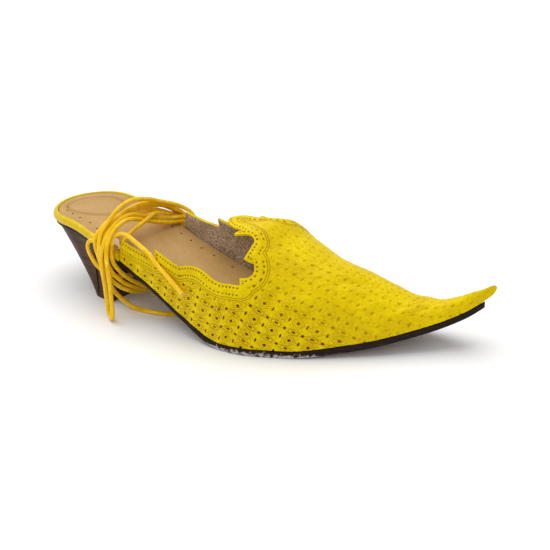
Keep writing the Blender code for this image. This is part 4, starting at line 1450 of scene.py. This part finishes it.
wear(rand, rand_leather)

# %% Polished goat lace
# rolled and polished: pale streaks run along it, about 6 mm long and a third of a turn wide; they are partly
# the lace's own streaks and partly painted highlights
lace_leather, tree, shader = new_material("polished_goat_lace", Roughness=0.5, Specular_IOR_Level=0.15,
                                          Coat_Weight=0.2, Coat_Roughness=0.16)
run = add_node(tree, "ShaderNodeAttribute", {"attribute_name": "run"}).outputs["Fac"]
turn = add_node(tree, "ShaderNodeAttribute", {"attribute_name": "turn"}).outputs["Fac"]
along = add_node(tree, "ShaderNodeMath", {"operation": "MULTIPLY"}, _0=run, _1=0.07)
around = add_node(tree, "ShaderNodeMath", {"operation": "MULTIPLY"}, _0=turn, _1=1.3)
streak_place = add_node(tree, "ShaderNodeCombineXYZ", X=along.outputs[0], Y=around.outputs[0])
streaks = add_node(tree, "ShaderNodeTexNoise", Vector=streak_place.outputs[0], Scale=2.2, Detail=5,
                   Roughness=0.65)
streak_ramp = add_node(tree, "ShaderNodeValToRGB", Fac=streaks.outputs["Fac"])
# the palest stop, #ffe468, is painted highlight; the deeper yellows are the lace's own streaked colour
tree.links.new(set_stops(streak_ramp, (0.32, "#d8a000"), (0.44, "#f2be00"), (0.56, "#facc00"),
                         (0.66, "#ffe468")), shader.inputs["Base Color"])
rolled = add_node(tree, "ShaderNodeBump", Strength=0.5, Distance=0.3 * MM, Height=streaks.outputs["Fac"])
tree.links.new(rolled.outputs["Normal"], shader.inputs["Normal"])
# the inside of the skin where it is cut or torn: pale tan, no gloss
raw_leather, tree, shader = new_material("raw_cut_leather", Roughness=0.85, Specular_IOR_Level=0.15)
shader.inputs["Base Color"].default_value = linear("#dcb890")
wear(lace, lace_leather, raw_leather)
wear(torn_flap, raw_leather)
for face in lace.data.polygons:
    face.material_index = 1 if len(face.vertices) > 4 else 0

# %% Oxidised iron of the tacks
# dark, dull metal with brown rust in spots of 1 mm
tack_iron, tree, shader = new_material("oxidised_iron_tack", Roughness=0.6, Metallic=0.4)
object_place = add_node(tree, "ShaderNodeTexCoord").outputs["Object"]
rust = add_node(tree, "ShaderNodeTexNoise", Vector=object_place, Scale=900, Detail=3)
rust_ramp = add_node(tree, "ShaderNodeValToRGB", Fac=rust.outputs["Fac"])
tree.links.new(set_stops(rust_ramp, (0.35, "#2a1a12"), (0.65, "#5a3c24")), shader.inputs["Base Color"])
wear(tacks, tack_iron)
print("lace, rand and tacks dressed")

# %% [markdown]
# Insole, sole edge and heel
#
# The insole is natural calf, only waxed, and tans with wear. The sole's edge was stained nearly
# black, and the floor has rubbed it grey where the ball of the foot bends. The heel's lifts are dyed
# through and sanded across their layers, so thin level streaks run round it.

# %% Natural calf of the insole
# waxed, so it glows softly: clouds of tan 26 mm across, fibres 1.1 mm
calf, tree, shader = new_material("natural_calf_insole", Roughness=0.6, Specular_IOR_Level=0.2)
object_place = add_node(tree, "ShaderNodeTexCoord").outputs["Object"]
cloudy = add_node(tree, "ShaderNodeTexNoise", Vector=object_place, Scale=38, Detail=6, Roughness=0.55)
cloud_ramp = add_node(tree, "ShaderNodeValToRGB", Fac=cloudy.outputs["Fac"])
waxed = set_stops(cloud_ramp, (0.3, "#b69056"), (0.5, "#c09a60"), (0.7, "#c8a46c"))
fibres = add_node(tree, "ShaderNodeTexNoise", Vector=object_place, Scale=900, Detail=3, Roughness=0.7)
fibre_ramp = add_node(tree, "ShaderNodeValToRGB", Fac=fibres.outputs["Fac"])
fibre_colour = set_stops(fibre_ramp, (0.3, "#f0eadf"), (0.6, PLAIN))
waxed = add_node(tree, "ShaderNodeMix", {"data_type": "RGBA", "blend_type": "MULTIPLY"}, _0=1.0, _6=waxed,
                 _7=fibre_colour).outputs[2]
# the heel has pressed a soft oval line into the seat
SEAT_LINE = (19 * MM, 15 * MM)  # half its length and half its width
seat_middle = Vector((27, -3, 0)) * MM + Vector(HEEL_BACK)
from_seat = add_node(tree, "ShaderNodeVectorMath", {"operation": "SUBTRACT"}, _0=object_place, _1=seat_middle)
from_seat = add_node(tree, "ShaderNodeVectorMath", {"operation": "MULTIPLY"}, _0=from_seat.outputs[0],
                     _1=(1 / SEAT_LINE[0], 1 / SEAT_LINE[1], 0))
from_seat = add_node(tree, "ShaderNodeVectorMath", {"operation": "LENGTH"}, _0=from_seat.outputs[0])
halved = add_node(tree, "ShaderNodeMath", {"operation": "DIVIDE"}, _0=from_seat.outputs["Value"], _1=2)
seat_ramp = add_node(tree, "ShaderNodeValToRGB", Fac=halved.outputs[0])
seat_line = set_stops(seat_ramp, (0.42, PLAIN), (0.5, "#e4d9c6"), (0.58, PLAIN))
waxed = add_node(tree, "ShaderNodeMix", {"data_type": "RGBA", "blend_type": "MULTIPLY"}, _0=1.0, _6=waxed,
                 _7=seat_line).outputs[2]
tree.links.new(waxed, shader.inputs["Base Color"])
fibre_bump = add_node(tree, "ShaderNodeBump", Strength=0.25, Distance=0.08 * MM, Height=fibres.outputs["Fac"])
tree.links.new(fibre_bump.outputs["Normal"], shader.inputs["Normal"])
wear(insole, calf)

# %% Stained edge and worn underside of the outsole
# the stain is nearly black and dull; rubbed spots of 2.4 mm are grey; the tread is brown, in 14 mm clouds
SCUFFS = (4.4 * MM, 1.2 * MM)  # scuffs fade from the lower height to the upper one
sole_edge, tree, shader = new_material("stained_sole_edge", Roughness=0.6, Specular_IOR_Level=0.15)
object_place = add_node(tree, "ShaderNodeTexCoord").outputs["Object"]
place_parts = add_node(tree, "ShaderNodeSeparateXYZ", Vector=object_place)
stretch = add_node(tree, "ShaderNodeMapping", Vector=object_place, Scale=(160, 160, 900))
layers = add_node(tree, "ShaderNodeTexNoise", Vector=stretch.outputs[0], Scale=1, Detail=4, Roughness=0.6)
layer_ramp = add_node(tree, "ShaderNodeValToRGB", Fac=layers.outputs["Fac"])
stained = set_stops(layer_ramp, (0.3, "#160c0a"), (0.55, "#241614"), (0.75, "#3a2a2c"))
rubbed = add_node(tree, "ShaderNodeTexNoise", Vector=object_place, Scale=420, Detail=5, Roughness=0.7)
low = add_node(tree, "ShaderNodeMapRange", Value=place_parts.outputs["Z"], From_Min=SCUFFS[0],
               From_Max=SCUFFS[1], To_Min=-0.14, To_Max=0.16)
worn = add_node(tree, "ShaderNodeMath", {"operation": "ADD"}, _0=rubbed.outputs["Fac"], _1=low.outputs[0])
worn = add_node(tree, "ShaderNodeMapRange", Value=worn.outputs[0], From_Min=0.56, From_Max=0.68)
edge_colour = add_node(tree, "ShaderNodeMix", {"data_type": "RGBA"}, _0=worn.outputs[0], _6=stained,
                       _7=linear("#b8b0ae")).outputs[2]
tree.links.new(edge_colour, shader.inputs["Base Color"])
edge_bump = add_node(tree, "ShaderNodeBump", Strength=0.5, Distance=0.2 * MM, Height=layers.outputs["Fac"])
tree.links.new(edge_bump.outputs["Normal"], shader.inputs["Normal"])

worn_sole, tree, shader = new_material("worn_sole_leather", Roughness=0.75, Specular_IOR_Level=0.25)
object_place = add_node(tree, "ShaderNodeTexCoord").outputs["Object"]
walked = add_node(tree, "ShaderNodeTexNoise", Vector=object_place, Scale=70, Detail=8, Roughness=0.7)
walked_ramp = add_node(tree, "ShaderNodeValToRGB", Fac=walked.outputs["Fac"])
tree.links.new(set_stops(walked_ramp, (0.3, "#4e3a2e"), (0.5, "#7a6350"), (0.72, "#a08a74")),
               shader.inputs["Base Color"])
walked_bump = add_node(tree, "ShaderNodeBump", Strength=0.4, Distance=0.3 * MM, Height=walked.outputs["Fac"])
tree.links.new(walked_bump.outputs["Normal"], shader.inputs["Normal"])
wear(outsole, sole_edge, worn_sole)
for face in outsole.data.polygons:
    face.material_index = 1 if face.normal.z < -0.8 else 0

# %% Stacked leather of the heel
# sanded and waxed: level streaks 0.7 mm high and 17 mm long, a darker seam between two lifts
stack_leather, tree, shader = new_material("stacked_heel_leather", Roughness=0.5, Specular_IOR_Level=0.2)
object_place = add_node(tree, "ShaderNodeTexCoord").outputs["Object"]
stretch = add_node(tree, "ShaderNodeMapping", Vector=object_place, Scale=(60, 60, 1500))
streaks = add_node(tree, "ShaderNodeTexNoise", Vector=stretch.outputs[0], Scale=1, Detail=6, Roughness=0.6)
streak_ramp = add_node(tree, "ShaderNodeValToRGB", Fac=streaks.outputs["Fac"])
sanded = set_stops(streak_ramp, (0.3, "#2a160a"), (0.5, "#4a2c18"), (0.7, "#66422a"))
place_parts = add_node(tree, "ShaderNodeSeparateXYZ", Vector=object_place)
seam = add_node(tree, "ShaderNodeMath", {"operation": "PINGPONG"}, _0=place_parts.outputs["Z"], _1=LIFT / 2)
seam = add_node(tree, "ShaderNodeMapRange", Value=seam.outputs[0], From_Min=0.05 * MM, From_Max=0.35 * MM,
                To_Min=0.55, To_Max=1.0)
layered = add_node(tree, "ShaderNodeVectorMath", {"operation": "SCALE"}, _0=sanded, Scale=seam.outputs[0])
tree.links.new(layered.outputs[0], shader.inputs["Base Color"])
streak_bump = add_node(tree, "ShaderNodeBump", Strength=0.35, Distance=0.15 * MM,
                       Height=streaks.outputs["Fac"])
tree.links.new(streak_bump.outputs["Normal"], shader.inputs["Normal"])
wear(heel, stack_leather)
print("sole and heel dressed")

# %% [markdown]
# Floor and light
#
# The shoe stands on plain white paper. One large soft light hangs over it, a little to the heel's
# side, so the vamp glows and the near side is in half shade, and the white room fills the shadows.

# %% Floor
# white paper is matt and a little under full white
floor_mesh = bmesh.new()
bmesh.ops.create_grid(floor_mesh, x_segments=1, y_segments=1, size=3.0)
floor = to_piece(floor_mesh, "floor")
paper, tree, shader = new_material("white_paper", Roughness=0.9)
shader.inputs["Base Color"].default_value = linear("#fafafa")
wear(floor, paper)


# %% Lights
def add_light(name, place, size, power, target=(0, 0, 0.03)):
    data = bpy.data.lights.new(name, "AREA")
    data.shape = "RECTANGLE"
    data.size, data.size_y = size
    data.energy = power
    light = bpy.data.objects.new(name, data)
    bpy.context.scene.collection.objects.link(light)
    light.location = place
    light.rotation_euler = (Vector(target) - Vector(place)).to_track_quat("-Z", "Y").to_euler()
    return light


add_light("overhead_softbox", (-0.35, 0.12, 1.2), (1.8, 1.6), 15)
add_light("front_fill", (0.9, -0.9, 0.7), (1.0, 1.0), 1.2)
bpy.context.scene.view_settings.view_transform = "Standard"
world = bpy.data.worlds.new("studio")
bpy.context.scene.world = world
world.use_nodes = True
world.node_tree.nodes["Background"].inputs["Color"].default_value = (1, 1, 1, 1)
world.node_tree.nodes["Background"].inputs["Strength"].default_value = 0.6
print("two softboxes in a white room")

# %% [markdown]
# Sizes and end
# The end
# The dressed shoe has to stay inside its solids' box but for the lace's small play. The scene is
# brought up to date, and the frame is finished.

# %% End
bpy.context.view_layer.update()
